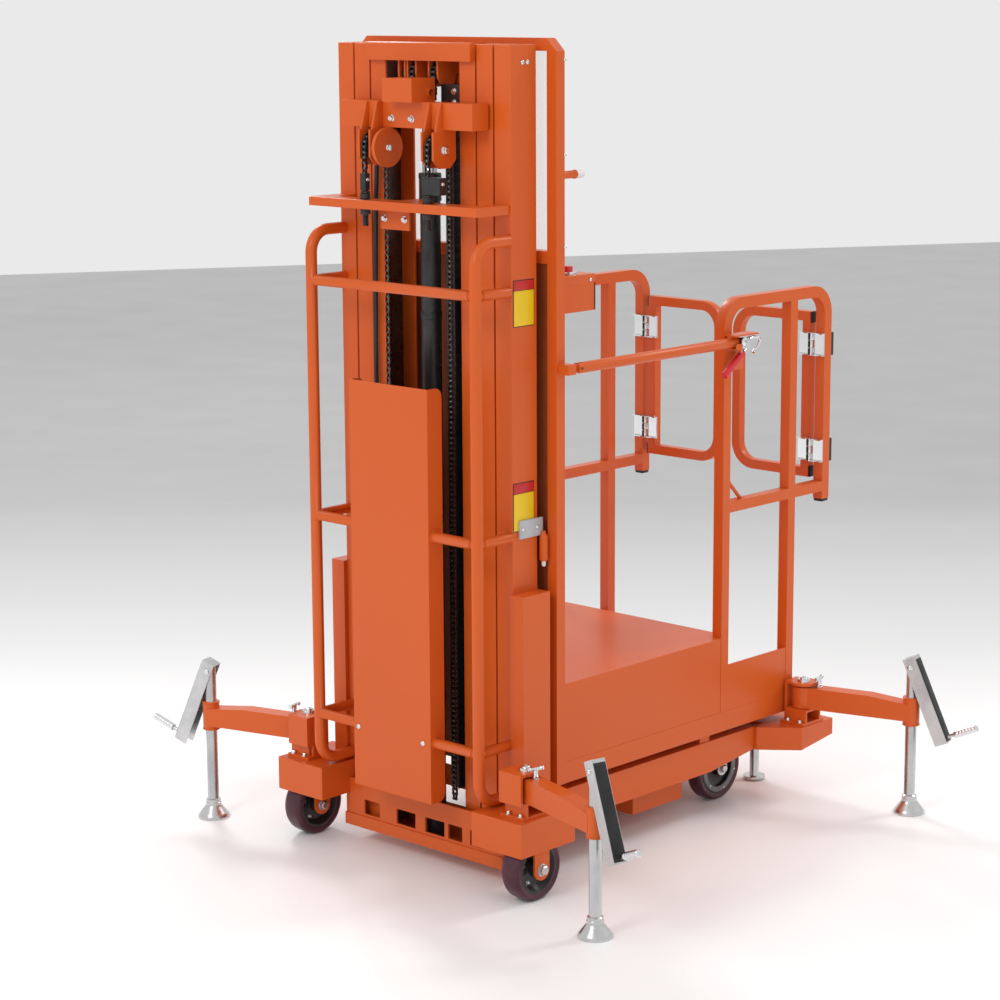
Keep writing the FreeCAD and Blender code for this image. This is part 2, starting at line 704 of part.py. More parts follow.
def rear_guard():
    """Two bent bars behind the mast, joined by three cross rails with stubs."""
    pieces = []
    for side in (-1, 1):
        y = side * GUARD_Y
        points = [V(MAST_REAR, y, GUARD_BOTTOM_Z), V(GUARD_X, y, GUARD_BOTTOM_Z),
                  V(GUARD_X, y, GUARD_TOP_Z), V(MAST_REAR, y, GUARD_TOP_Z)]
        pieces.append(round_tube(points, GUARD_BEND, GUARD_R))
        for z in RAIL_Z:
            pieces.append(rod(V(GUARD_X, y, z), V(MAST_REAR, y, z), RAIL_R))
    for z in RAIL_Z:
        pieces.append(rod(V(GUARD_X, -GUARD_Y, z), V(GUARD_X, GUARD_Y, z), RAIL_R))
    return fuse(pieces)


def cover_panel():
    """Sheet panel with folded sides, through which the two lower rails pass."""
    height = PANEL_TOP - PANEL_BOTTOM
    face = Part.makeBox(PANEL_DEPTH, 2 * PANEL_HALF, height, V(PANEL_X, -PANEL_HALF, PANEL_BOTTOM))
    hollow = box(PANEL_X + PANEL_WALL, PANEL_X + PANEL_DEPTH + 1, -PANEL_HALF + PANEL_WALL,
                 PANEL_HALF - PANEL_WALL, PANEL_BOTTOM - 1, PANEL_TOP + 1)
    panel = face.cut(hollow)
    # the folded sides are rounded off at their tips
    rear_edge = PANEL_X + PANEL_DEPTH
    for z, way in ((PANEL_TOP, -1), (PANEL_BOTTOM, 1)):
        tip = box(rear_edge - PANEL_CORNER, rear_edge + 1, -PANEL_HALF - 1, PANEL_HALF + 1,
                  z - way, z + way * PANEL_CORNER)
        keep = rod(V(rear_edge - PANEL_CORNER, -PANEL_HALF - 2, z + way * PANEL_CORNER),
                   V(rear_edge - PANEL_CORNER, PANEL_HALF + 2, z + way * PANEL_CORNER), PANEL_CORNER)
        panel = panel.cut(tip.cut(keep))
    for z in RAIL_Z[:2]:
        panel = panel.cut(rod(V(GUARD_X, -PANEL_HALF - 1, z), V(GUARD_X, PANEL_HALF + 1, z),
                              RAIL_R + SEAT_GAP))
    return panel


def lift_cylinder():
    """Barrel and gland of the lift cylinder, standing on the mast's floor plate."""
    barrel = post(CYLINDER_X, 0, BASE_TOP, BARREL_TOP, BARREL_R)
    gland = post(CYLINDER_X, 0, GLAND_BOTTOM, GLAND_TOP, GLAND_R)
    bore = post(CYLINDER_X, 0, BASE_TOP + COLUMN_WALL, GLAND_BOTTOM, BARREL_BORE)
    throat = post(CYLINDER_X, 0, GLAND_BOTTOM - 1, GLAND_TOP + 1, ROD_R + PIN_GAP)
    return fuse([barrel, gland]).cut(bore).cut(throat)


def lift_rod():
    """Piston rod, from inside the barrel up to the middle section's plate."""
    return post(CYLINDER_X, 0, ROD_BOTTOM, LIFT_BEAM_BOTTOM, ROD_R)


def middle_columns():
    """Columns of the middle section, with slide pads for both neighbours."""
    tube = column(MIDDLE_IN, MIDDLE_OUT, MAST_FRONT, SECTION_BOTTOM, False)
    low_pad = wear_pad(MIDDLE_OUT, OUTER_IN, SECTION_BOTTOM)
    high_pad = wear_pad(MIDDLE_IN, INNER_OUT, MAST_TOP - 2 * WEAR_PAD_LENGTH)
    return Part.Compound(both_sides(fuse([tube, low_pad, high_pad])))


def sheave_plate(y):
    """One plate that hangs from the cross beam and holds a chain sheave."""
    rear = SHEAVE_X - SHEAVE_PLATE_HALF
    front = SHEAVE_X + SHEAVE_PLATE_HALF
    low = SHEAVE_Z - SHEAVE_PLATE_DROP
    high = LIFT_BEAM_BOTTOM - SLIDE_GAP
    return prism([V(LIFT_BEAM_REAR, y, LIFT_BEAM_TOP), V(LIFT_BEAM_REAR, y, LIFT_BEAM_BOTTOM),
                  V(rear, y, high), V(rear, y, low + SHEAVE_PLATE_CORNER),
                  V(rear + SHEAVE_PLATE_CORNER, y, low), V(front - SHEAVE_PLATE_CORNER, y, low),
                  V(front, y, low + SHEAVE_PLATE_CORNER), V(front, y, high),
                  V(LIFT_BEAM_FRONT, y, LIFT_BEAM_BOTTOM), V(LIFT_BEAM_FRONT, y, LIFT_BEAM_TOP)],
                 V(0, SHEAVE_PLATE, 0))


def middle_beam():
    """Cross beam of the middle section, with its sheave plates, box and rod plate."""
    half = LIFT_BEAM_HALF
    offset = CHAIN_WIDTH / 2 + SHEAVE_PLATE_GAP
    recess_half = SHEAVE_Y - offset - SHEAVE_PLATE
    beam = box(LIFT_BEAM_REAR, LIFT_BEAM_FRONT, -half, half, LIFT_BEAM_BOTTOM, LIFT_BEAM_TOP)
    pieces = [beam.cut(box(LIFT_BEAM_REAR - 1, LIFT_BEAM_REAR + LIFT_BEAM_RECESS, -recess_half, recess_half,
                           LIFT_BEAM_BOTTOM - 1, LIFT_BEAM_TOP + 1))]
    for side in (-1, 1):
        pieces.append(box(LIFT_BEAM_FRONT, MAST_REAR, side * MIDDLE_IN, side * LIFT_BEAM_PAD,
                          LIFT_BEAM_BOTTOM, LIFT_BEAM_TOP))
        centre = side * SHEAVE_Y
        pieces.append(sheave_plate(centre + offset))
        pieces.append(sheave_plate(centre - offset - SHEAVE_PLATE))
        pieces.append(rod(V(SHEAVE_X, centre - offset - SHEAVE_PLATE, SHEAVE_Z),
                          V(SHEAVE_X, centre + offset + SHEAVE_PLATE, SHEAVE_Z), SHEAVE_BORE))
    # a round flange on the left sheave's pin, towards the middle
    pieces.append(rod(V(SHEAVE_X, recess_half - DISC_GAP - DISC_WALL, SHEAVE_Z),
                      V(SHEAVE_X, recess_half - DISC_GAP, SHEAVE_Z), DISC_R))
    pieces.append(rod(V(SHEAVE_X, recess_half - DISC_GAP, SHEAVE_Z),
                      V(SHEAVE_X, recess_half, SHEAVE_Z), SHEAVE_BORE))
    bracket = box(BRACKET_BOX_REAR, LIFT_BEAM_FRONT, -BRACKET_BOX_HALF, BRACKET_BOX_HALF,
                  LIFT_BEAM_TOP, LIFT_BEAM_TOP + BRACKET_BOX_HEIGHT)
    hole_z = LIFT_BEAM_TOP + BRACKET_HOLE_RISE
    hole = rod(V(BRACKET_HOLE_X, -BRACKET_BOX_HALF - 1, hole_z),
               V(BRACKET_HOLE_X, BRACKET_BOX_HALF + 1, hole_z), BRACKET_HOLE_R)
    pieces.append(bracket.cut(hole))
    pieces.append(box(LIFT_BEAM_FRONT, CYLINDER_X + ROD_R + ROD_PLATE_MARGIN,
                      -ANCHOR_TONGUE_HALF, ANCHOR_TONGUE_HALF,
                      LIFT_BEAM_BOTTOM, LIFT_BEAM_BOTTOM + ROD_PLATE_THICK))
    return fuse(pieces)


def sheave(x, y, z, radius, width, bore):
    """A chain sheave on an axis along Y."""
    disc = rod(V(x, y - width / 2, z), V(x, y + width / 2, z), radius)
    return disc.cut(rod(V(x, y - width, z), V(x, y + width, z), bore))


def lift_sheaves():
    """The two sheaves under the cross beam."""
    return Part.Compound([sheave(SHEAVE_X, side * SHEAVE_Y, SHEAVE_Z, SHEAVE_R - SEAT_GAP,
                                 CHAIN_WIDTH, SHEAVE_BORE + PIN_GAP) for side in (-1, 1)])


def chain(x, y, z, radius, width, rear_bottom, front_bottom):
    """A chain that runs up to a sheave, half round it and down again."""
    half = CHAIN_THICK / 2
    over = rod(V(x, y - width / 2, z), V(x, y + width / 2, z), radius + half)
    over = over.cut(rod(V(x, y - width, z), V(x, y + width, z), radius - half))
    over = over.cut(box(x - 2 * radius, x + 2 * radius, y - width, y + width, z - 2 * radius, z))
    rear = box(x - radius - half, x - radius + half, y - width / 2, y + width / 2, rear_bottom, z)
    front = box(x + radius - half, x + radius + half, y - width / 2, y + width / 2, front_bottom, z)
    return fuse([over, rear, front])


def lift_chains():
    """Chains from the anchors over the lift sheaves and down the mast."""
    return Part.Compound([chain(SHEAVE_X, side * SHEAVE_Y, SHEAVE_Z, CHAIN_R, CHAIN_WIDTH,
                                ANCHOR_BLOCK_TOP + SEAT_GAP, CHAIN_BOTTOM) for side in (-1, 1)])


def inner_columns():
    """Channels of the inner section, open towards the centre, with low slide pads."""
    channel = column(INNER_IN, INNER_OUT, MAST_FRONT, SECTION_BOTTOM, True)
    pad = wear_pad(INNER_OUT, MIDDLE_IN, SECTION_BOTTOM)
    return Part.Compound(both_sides(fuse([channel, pad])))


def head_beam():
    """Cover across the top of the inner section, rounded along its upper rear edge."""
    x0 = MAST_REAR - HEAD_BEAM_DEPTH
    x1 = x0 + HEAD_BEAM_ROUND
    z1 = HEAD_BEAM_TOP - HEAD_BEAM_ROUND
    beam = box(x0, MAST_REAR, -INNER_OUT, INNER_OUT, HEAD_BEAM_BOTTOM, HEAD_BEAM_TOP)
    corner = box(x0 - 1, x1, -INNER_OUT - 1, INNER_OUT + 1, z1, HEAD_BEAM_TOP + 1)
    keep = rod(V(x1, -INNER_OUT - 1, z1), V(x1, INNER_OUT + 1, z1), HEAD_BEAM_ROUND)
    return beam.cut(corner.cut(keep))


def inner_ties():
    """Head of the inner section with its sheave plates, and the ties lower down."""
    plate_top = MAST_TOP
    plate_bottom = plate_top - HEAD_PLATE_THICK
    pieces = [head_beam(), box(MAST_REAR, HEAD_PLATE_FRONT, -INNER_IN, INNER_IN, plate_bottom, plate_top),
              box(HEAD_WALL_X, HEAD_WALL_X + HEAD_WALL_THICK, -INNER_IN, INNER_IN,
                  HEAD_WALL_BOTTOM, plate_bottom)]
    for middle, width in HEAD_SHEAVES:
        offset = width / 2 + HEAD_PLATE_GAP
        for y in (middle - offset - HEAD_PLATE_WALL, middle + offset):
            pieces.append(rod(V(HEAD_SHEAVE_X, y, HEAD_SHEAVE_Z),
                              V(HEAD_SHEAVE_X, y + HEAD_PLATE_WALL, HEAD_SHEAVE_Z), HEAD_PLATE_R))
            pieces.append(box(HEAD_SHEAVE_X - HEAD_PLATE_R, HEAD_WALL_X, y, y + HEAD_PLATE_WALL,
                              HEAD_SHEAVE_Z, plate_bottom))
        pieces.append(rod(V(HEAD_SHEAVE_X, middle - offset, HEAD_SHEAVE_Z),
                          V(HEAD_SHEAVE_X, middle + offset, HEAD_SHEAVE_Z), SHEAVE_BORE))
    tie = box(FOOT_TIE_FRONT - FOOT_TIE_WALL, FOOT_TIE_FRONT, -INNER_IN, INNER_IN,
              SECTION_BOTTOM, SECTION_BOTTOM + FOOT_TIE_HEIGHT)
    return Part.Compound([fuse(pieces), tie])


def head_sheaves():
    """Two chain sheaves and a narrow hose sheave in the head of the inner section."""
    return Part.Compound([sheave(HEAD_SHEAVE_X, middle, HEAD_SHEAVE_Z, HEAD_SHEAVE_R - SEAT_GAP,
                                 width, SHEAVE_BORE + PIN_GAP) for middle, width in HEAD_SHEAVES])


def head_chains():
    """Chains over the head sheaves that carry the platform."""
    return Part.Compound([chain(HEAD_SHEAVE_X, side * HEAD_SHEAVE_Y, HEAD_SHEAVE_Z, HEAD_CHAIN_R,
                                HEAD_CHAIN_WIDTH, LIFT_BEAM_TOP + SLIDE_GAP, HEAD_CHAIN_BOTTOM)
                          for side in (-1, 1)])


def cable_carrier():
    """Cable chain beside the lift cylinder, with its bracket on the right inner channel."""
    half = CARRIER_DEPTH / 2
    run = box(CARRIER_X - half, CARRIER_X + half, CARRIER_NEAR, CARRIER_FAR, CARRIER_BOTTOM, CARRIER_TOP)
    web = -INNER_OUT + COLUMN_WALL
    block = box(CARRIER_PLATE_REAR, CARRIER_PLATE_FRONT, web, CARRIER_PLATE_FAR,
                CARRIER_TOP - CARRIER_PLATE_HEIGHT, CARRIER_TOP)
    return fuse([run, block])


def tray(x0, x1, half, bottom, top):
    """A sheet box that opens downwards, with its edge folded in."""
    shell = box(x0, x1, -half, half, bottom, top)
    hollow = box(x0 + SHEET, x1 - SHEET, -half + SHEET, half - SHEET, bottom + SHEET, top - SHEET)
    mouth = box(x0 + LIP, x1 - LIP, -half + LIP, half - LIP, bottom - 1, bottom + 2 * SHEET)
    return shell.cut(hollow).cut(mouth)


def platform_base():
    """Floor of the platform, a folded tray."""
    return tray(PLATFORM_REAR, PLATFORM_FRONT, PLATFORM_HALF, PLATFORM_BOTTOM, FLOOR_TOP)


def goods_deck():
    """Raised deck for goods between the mast and the operator's floor."""
    deck = tray(PLATFORM_REAR, DECK_FRONT, PLATFORM_HALF, FLOOR_TOP, DECK_TOP)
    for side in (-1, 1):
        deck = deck.cut(box(MID_POST_X - TUBE / 2, DECK_FRONT + 1, side * (POST_FACE - TUBE - SEAT_GAP),
                            side * (POST_FACE + 1), FLOOR_TOP - 1, DECK_TOP + 1))
    return deck


def bar_bracket(side):
    """Block on the goalpost's outer face, with a tongue and pin inside the drop bar's slot."""
    block_front = BAR_PIN_X - BAR_BLOCK_BEHIND
    y = side * BAR_Y
    half = BAR_TONGUE / 2
    reach = BAR_BLOCK_HALF
    return [box(GOALPOST_REAR + BAR_BLOCK_START, block_front, side * POST_FACE, side * (BAR_Y + reach),
                BAR_Z - BAR_BLOCK_HALF, BAR_Z + BAR_BLOCK_HALF),
            box(block_front, BAR_PIN_X, y - half, y + half, BAR_Z - BAR_TONGUE_R, BAR_Z + BAR_TONGUE_R),
            rod(V(BAR_PIN_X, y - half, BAR_Z), V(BAR_PIN_X, y + half, BAR_Z), BAR_TONGUE_R),
            rod(V(BAR_PIN_X, y - reach, BAR_Z), V(BAR_PIN_X, y + reach, BAR_Z), BAR_PIN_R)]


def goalpost():
    """Portal in front of the mast: two posts, a chamfered top beam and a cross member."""
    x0 = GOALPOST_REAR
    x1 = x0 + TUBE
    inner = POST_FACE - TUBE
    cut = GOALPOST_CHAMFER
    top = [V(x0, -POST_FACE, GOALPOST_TOP - TUBE), V(x0, POST_FACE, GOALPOST_TOP - TUBE),
           V(x0, POST_FACE, GOALPOST_TOP - cut), V(x0, POST_FACE - cut, GOALPOST_TOP),
           V(x0, -POST_FACE + cut, GOALPOST_TOP), V(x0, -POST_FACE, GOALPOST_TOP - cut)]
    pieces = [prism(top, V(TUBE, 0, 0)), box(x0, x1, -inner, inner, SHEET_TOP, SHEET_TOP + TUBE)]
    for side in (-1, 1):
        pieces.append(box(x0, x1, side * inner, side * POST_FACE, PLATFORM_BOTTOM, GOALPOST_TOP - TUBE))
        pieces += bar_bracket(side)
    return fuse(pieces)


def back_sheet():
    """Sheet that closes the lower part of the goalpost."""
    inner = POST_FACE - TUBE
    return box(BACK_SHEET_X, BACK_SHEET_X + BACK_SHEET_WALL, -inner, inner, PLATFORM_BOTTOM, SHEET_TOP)


def mast_shield():
    """Clear sheet that closes the upper part of the goalpost."""
    inner = POST_FACE - TUBE
    return box(BACK_SHEET_X, BACK_SHEET_X + SHIELD_WALL, -inner, inner,
               SHEET_TOP + TUBE, GOALPOST_TOP - TUBE)


def carriage():
    """Slides on the back sheet that run between the inner channels."""
    left = box(CARRIAGE_REAR, BACK_SHEET_X, CARRIAGE_INNER, INNER_IN - SEAT_GAP,
               CARRIAGE_BOTTOM, CARRIAGE_TOP)
    return Part.Compound(both_sides(left))


def cradle():
    """Catch outside the left mid post on which the drop bar's end lies."""
    x0 = MID_POST_X - CRADLE_LENGTH / 2
    x1 = MID_POST_X + CRADLE_LENGTH / 2
    floor_top = BAR_Z - BAR_R - SEAT_GAP
    lip = BAR_Y + BAR_R + CRADLE_PLAY
    floor = box(x0, x1, POST_FACE, lip + CRADLE_WALL, floor_top - CRADLE_WALL, floor_top)
    return [floor, box(x0, x1, lip, lip + CRADLE_WALL, floor_top, floor_top + CRADLE_RISE)]


def guard_frame():
    """Left guard beside the operator: bent top tube, posts, mid rail and toe board."""
    y = POST_AXIS
    top_axis = GUARD_TOP - TUBE / 2
    hoop = square_tube([V(MID_POST_X, y, FLOOR_TOP), V(MID_POST_X, y, top_axis),
                        V(END_POST_X, y, top_axis), V(END_POST_X, y, END_POST_BOTTOM)],
                       GUARD_CORNER, TUBE, V(0, 1, 0))
    inner = POST_FACE - TUBE
    side_post = box(SIDE_POST_X - TUBE / 2, SIDE_POST_X + TUBE / 2, inner, POST_FACE,
                    FLOOR_TOP, GUARD_TOP - TUBE)
    mid_rail = box(MID_POST_X, END_POST_X, inner, POST_FACE, MID_RAIL_TOP - MID_RAIL_HEIGHT, MID_RAIL_TOP)
    toe = box(MID_POST_X, SIDE_POST_X, POST_FACE - TOE_WALL - 1, POST_FACE - 1, FLOOR_TOP, TOE_TOP)
    foot = MID_POST_X + TUBE / 2
    brace = rod(V(foot, y, MID_RAIL_TOP + BRACE_RISE), V(foot + BRACE_RISE, y, MID_RAIL_TOP), BRACE_R)
    bumpers = [box(END_POST_FRONT, FRONT_END, POST_FACE - BUMPER_WIDTH, POST_FACE,
                   z - HINGE_HEIGHT / 2, z + HINGE_HEIGHT / 2) for z in HINGE_Z]
    return fuse([hoop, side_post, mid_rail, toe, brace] + bumpers + cradle())


def hinge_knuckle(z0, z1, bore):
    """A length of the left gate hinge's barrel."""
    barrel = post(HINGE_X, HINGE_Y, z0, z1, HINGE_R)
    if bore:
        barrel = barrel.cut(post(HINGE_X, HINGE_Y, z0 - 1, z1 + 1, bore))
    return barrel


def gate_hinges():
    """Fixed halves of the gate hinges, with their pins, on the end posts."""
    shapes = []
    for z in HINGE_Z:
        low = z - HINGE_HEIGHT / 2
        third = HINGE_HEIGHT / 3
        pieces = [post(HINGE_X, HINGE_Y, low, low + HINGE_HEIGHT, HINGE_PIN_R),
                  hinge_knuckle(low, low + third, None),
                  hinge_knuckle(low + 2 * third, low + HINGE_HEIGHT, None)]
        for z0 in (low, low + 2 * third):
            pieces.append(box(GATE_REAR - HINGE_LEAF, GATE_REAR, HINGE_Y,
                              HINGE_Y + HINGE_LEAF_START, z0, z0 + third))
        pieces.append(box(GATE_REAR - HINGE_LEAF, GATE_REAR, HINGE_Y + HINGE_LEAF_START,
                          HINGE_Y + HINGE_LEAF_LENGTH, low, low + HINGE_HEIGHT))
        shapes += both_sides(fuse(pieces))
    return Part.Compound(shapes)


def gate():
    """Left gate leaf: a tube loop with rounded corners at its free side, on two hinges."""
    x = GATE_REAR + GATE_TUBE / 2
    half = GATE_TUBE / 2
    outer = GATE_OUTER_EDGE - half
    inner = GATE_INNER_EDGE + half
    low = GATE_BOTTOM + half
    high = GATE_TOP - half
    loop = square_tube([V(x, outer, low), V(x, inner, low), V(x, inner, high), V(x, outer, high)],
                       GATE_CORNER, GATE_TUBE, V(1, 0, 0))
    stile = box(GATE_REAR, GATE_REAR + GATE_TUBE, outer - half, outer + half, GATE_BOTTOM, GATE_TOP)
    pieces = [loop, stile]
    third = HINGE_HEIGHT / 3
    for z in HINGE_Z:
        z0 = z - third / 2 + HINGE_KNUCKLE_GAP
        z1 = z + third / 2 - HINGE_KNUCKLE_GAP
        knuckle = fuse([hinge_knuckle(z0, z1, None),
                        box(GATE_REAR - HINGE_LEAF, GATE_REAR, HINGE_Y - HINGE_LEAF_START, HINGE_Y, z0, z1),
                        box(GATE_REAR - HINGE_LEAF, GATE_REAR, HINGE_Y - HINGE_LEAF_LENGTH,
                            HINGE_Y - HINGE_LEAF_START, z - HINGE_HEIGHT / 2, z + HINGE_HEIGHT / 2)])
        pieces.append(knuckle.cut(post(HINGE_X, HINGE_Y, z0 - 1, z1 + 1, HINGE_PIN_R + PIN_GAP)))
    return fuse(pieces)


def drop_bar():
    """Left drop bar, slotted over its bracket's tongue, with a catch plate over its free end."""
    y = BAR_Y
    start = BAR_PIN_X - BAR_TUBE_BEHIND
    tube = rod(V(start, y, BAR_Z), V(BAR_END, y, BAR_Z), BAR_R)
    web = box(BAR_END - BAR_CATCH_BEHIND, BAR_END, y - BAR_CATCH_WALL, y + BAR_CATCH_WALL, BAR_Z, CATCH_TOP)
    catch = box(BAR_END - BAR_CATCH_BEHIND, BAR_END + BAR_CATCH_AHEAD,
                y - BAR_R, y - BAR_R + BAR_CATCH_WIDTH, CATCH_TOP - BAR_CATCH_WALL, CATCH_TOP)
    half = BAR_TONGUE / 2 + BAR_SLOT_GAP
    slot = box(start - 1, BAR_PIN_X + BAR_TONGUE_R + 2 * BAR_SLOT_GAP, y - half, y + half,
               BAR_Z - 2 * BAR_R, BAR_Z + 2 * BAR_R)
    hole = rod(V(BAR_PIN_X, y - 2 * BAR_R, BAR_Z), V(BAR_PIN_X, y + 2 * BAR_R, BAR_Z), BAR_PIN_R + PIN_GAP)
    return fuse([tube, web, catch]).cut(slot).cut(hole)


def bar_latches():
    """Toggle latches on the mid posts, below the drop bars' catch plates."""
    x = MID_POST_X + TUBE / 2
    top = CATCH_TOP - BAR_CATCH_WALL - SLIDE_GAP
    side_low = BAR_Y - LATCH_BODY_WIDTH / 2
    side_high = BAR_Y + LATCH_BODY_WIDTH / 2
    plate = box(x, x + LATCH_PLATE, POST_FACE - TUBE / 2, side_high, top - LATCH_HEIGHT, top)
    body_end = x + LATCH_PLATE + LATCH_BODY_LENGTH
    body = box(x, body_end, side_low, side_high, top - LATCH_BODY_HEIGHT, top)
    foot = V(x + LATCH_LEVER_DEPTH, BAR_Y - LATCH_LEVER_WALL / 2, top - LATCH_LEVER_DROP)
    across = V(LATCH_LEVER_DEPTH, 0, 0)
    head = V(body_end, BAR_Y - LATCH_LEVER_WALL / 2, top)
    lever = prism([foot, foot + across, head + across, head], V(0, LATCH_LEVER_WALL, 0))
    grip = V(foot.x + LATCH_LEVER_DEPTH / 2, BAR_Y, foot.z)
    handle = rod(grip, grip - V(LATCH_HANDLE_REACH, 0, LATCH_HANDLE_DROP), LATCH_HANDLE_R)
    return Part.Compound(both_sides(fuse([plate, body, lever, handle])))


def control_box():
    """Control box on the goalpost's right side, with a stop button on its top."""
    x0 = BACK_SHEET_X + BACK_SHEET_WALL
    case = box(x0, CONTROL_FRONT, CONTROL_RIGHT, CONTROL_LEFT, CONTROL_BOTTOM, CONTROL_TOP)
    button = post(GOALPOST_REAR + TUBE + STOP_AHEAD, CONTROL_RIGHT + STOP_INSET,
                  CONTROL_TOP - STOP_DEPTH, CONTROL_TOP + STOP_HEIGHT, STOP_R)
    return fuse([case, button])


def place_corner(shape, sign_x, sign_y):
    """A shape drawn at the front left corner, mirrored to another corner."""
    if sign_x < 0:
        shape = shape.mirror(V(0, 0, 0), V(1, 0, 0))
    return to_side(shape, sign_y)


def outrigger_bracket(is_rear):
    """Base plate, stool, upright plates, round ear and pivot pin of one outrigger."""
    size = BRACKET_BASE_SIZE / 2
    half = BACK_PLATE_HALF
    base_top = BEAM_TOP + BRACKET_BASE
    stool_top = ARM_BOTTOM - ARM_PLAY
    ear_bottom = ARM_TOP + EAR_PLAY
    ear_top = ear_bottom + EAR_THICK
    side_y = PIVOT_Y - SIDE_PLATE_SETBACK
    rear_x = PIVOT_X + REAR_PLATE_SETBACK
    pieces = [box(PIVOT_X - size, PIVOT_X + size, side_y - BACK_PLATE, PIVOT_Y + STOOL_HALF,
                  BEAM_TOP, base_top)]
    pieces.append(box(PIVOT_X - STOOL_HALF, PIVOT_X + STOOL_HALF, PIVOT_Y - STOOL_HALF,
                      PIVOT_Y + STOOL_HALF, stool_top - STOOL_WALL, stool_top))
    for way in (-1, 1):
        pieces.append(box(PIVOT_X + way * STOOL_HALF, PIVOT_X + way * (STOOL_HALF - STOOL_WALL),
                          PIVOT_Y - STOOL_HALF, PIVOT_Y + STOOL_HALF, base_top, stool_top))
    # the upright plate at the truck's side, and the bridge from it to the ear
    pieces.append(box(PIVOT_X - half, PIVOT_X + half, side_y - BACK_PLATE, side_y, base_top, ear_top))
    pieces.append(box(PIVOT_X - half, PIVOT_X + half, side_y, PIVOT_Y, ear_bottom, ear_top))
    if is_rear:
        pieces.append(box(PIVOT_X, rear_x, side_y - BACK_PLATE, PIVOT_Y + half, ear_bottom, ear_top))
        pieces.append(box(rear_x, rear_x + BACK_PLATE, side_y - BACK_PLATE, PIVOT_Y + half,
                          stool_top - STOOL_WALL, ear_top))
        pieces.append(box(PIVOT_X, rear_x, side_y - BACK_PLATE, side_y, stool_top - STOOL_WALL, ear_top))
    pieces.append(post(PIVOT_X, PIVOT_Y, ear_bottom, ear_top, EAR_R))
    pieces.append(post(PIVOT_X, PIVOT_Y, stool_top - STOOL_WALL, ear_top, PIVOT_R))
    pieces.append(post(PIVOT_X, PIVOT_Y, ear_top, ear_top + PIVOT_HEAD, PIVOT_HEAD_R))
    return fuse(pieces)


def outrigger_brackets():
    """All four outrigger brackets."""
    return Part.Compound([place_corner(outrigger_bracket(sx < 0), sx, sy) for name, sx, sy in CORNERS])


def out_along_arm(shape):
    """A shape drawn along +Y from the pivot, turned to the arm's direction at the front left."""
    shape.rotate(V(0, 0, 0), V(0, 0, 1), -ARM_ANGLE)
    shape.translate(V(PIVOT_X, PIVOT_Y, 0))
    return shape


def arm():
    """Front left arm: hub, box arm with a kinked top, jack sleeve and lock pin."""
    half = ARM_WIDTH / 2
    elbow = ARM_LENGTH * ARM_ELBOW
    outline = [V(-half, 0, ARM_BOTTOM), V(-half, ARM_LENGTH, ARM_BOTTOM), V(-half, ARM_LENGTH, ARM_TIP_TOP),
               V(-half, elbow, ARM_TOP), V(-half, 0, ARM_TOP)]
    pieces = [prism(outline, V(ARM_WIDTH, 0, 0))]
    pieces.append(post(0, 0, ARM_BOTTOM, ARM_TOP, HUB_R))
    pieces.append(post(0, ARM_LENGTH, SLEEVE_BOTTOM, SLEEVE_TOP, SLEEVE_R))
    pin_top = ARM_TOP + LOCK_PIN_RISE
    pieces.append(post(0, LOCK_PIN_OFFSET, ARM_TOP, pin_top, LOCK_PIN_R))
    pieces.append(rod(V(-LOCK_BAR_HALF, LOCK_PIN_OFFSET, pin_top), V(LOCK_BAR_HALF, LOCK_PIN_OFFSET, pin_top),
                      LOCK_BAR_R))
    solid = fuse(pieces)
    solid = solid.cut(post(0, 0, ARM_BOTTOM - 1, ARM_TOP + 1, PIVOT_R + PIN_GAP))
    solid = solid.cut(post(0, ARM_LENGTH, SLEEVE_BOTTOM - 1, SLEEVE_TOP + 1, LEG_R + PIN_GAP))
    return out_along_arm(solid)


def jack_leg():
    """Front left jack leg: foot with a cone, collar and tube."""
    profile = [V(0, 0, 0), V(FOOT_R, 0, 0), V(FOOT_R, 0, FOOT_RIM), V(COLLAR_R, 0, FOOT_RIM + FOOT_CONE),
               V(COLLAR_R, 0, FOOT_RIM + FOOT_CONE + COLLAR_HEIGHT),
               V(LEG_R, 0, FOOT_RIM + FOOT_CONE + COLLAR_HEIGHT), V(LEG_R, 0, LEG_TOP), V(0, 0, LEG_TOP)]
    face = Part.Face(Part.makePolygon(profile + [profile[0]]))
    leg = face.revolve(V(0, 0, 0), V(0, 0, 1), 360)
    leg.translate(V(0, ARM_LENGTH, 0))
    return out_along_arm(leg)


def jack_crank():
    """Front left crank: a channel that straddles the leg, pinned at its top, with a grip."""
    inner = LEG_R + CRANK_SIDE_GAP
    outer = inner + CRANK_WALL
    front = CRANK_DEPTH - CRANK_BEHIND
    channel = box(-outer, outer, -CRANK_BEHIND, front, -CRANK_BELOW, CRANK_ABOVE)
    hollow = box(-inner, inner, -CRANK_BEHIND - 1, front - CRANK_WALL,
                 -CRANK_BELOW - 1, CRANK_ABOVE - CRANK_WALL)
    grip_z = -CRANK_BELOW + GRIP_FROM_END
    neck_end = front + GRIP_NECK
    pieces = [channel.cut(hollow),
              rod(V(0, front, grip_z), V(0, neck_end, grip_z), GRIP_NECK_R),
              rod(V(0, neck_end, grip_z), V(0, neck_end + GRIP_LENGTH, grip_z), GRIP_R),
              rod(V(-outer, 0, 0), V(outer, 0, 0), CRANK_PIN_R)]
    crank = fuse(pieces)
    crank.rotate(V(0, 0, 0), V(1, 0, 0), CRANK_TILT)
    crank.translate(V(0, ARM_LENGTH, CRANK_PIN_Z))
    leg = post(0, ARM_LENGTH, 0, LEG_TOP, LEG_R)
    return out_along_arm(crank.cut(leg))


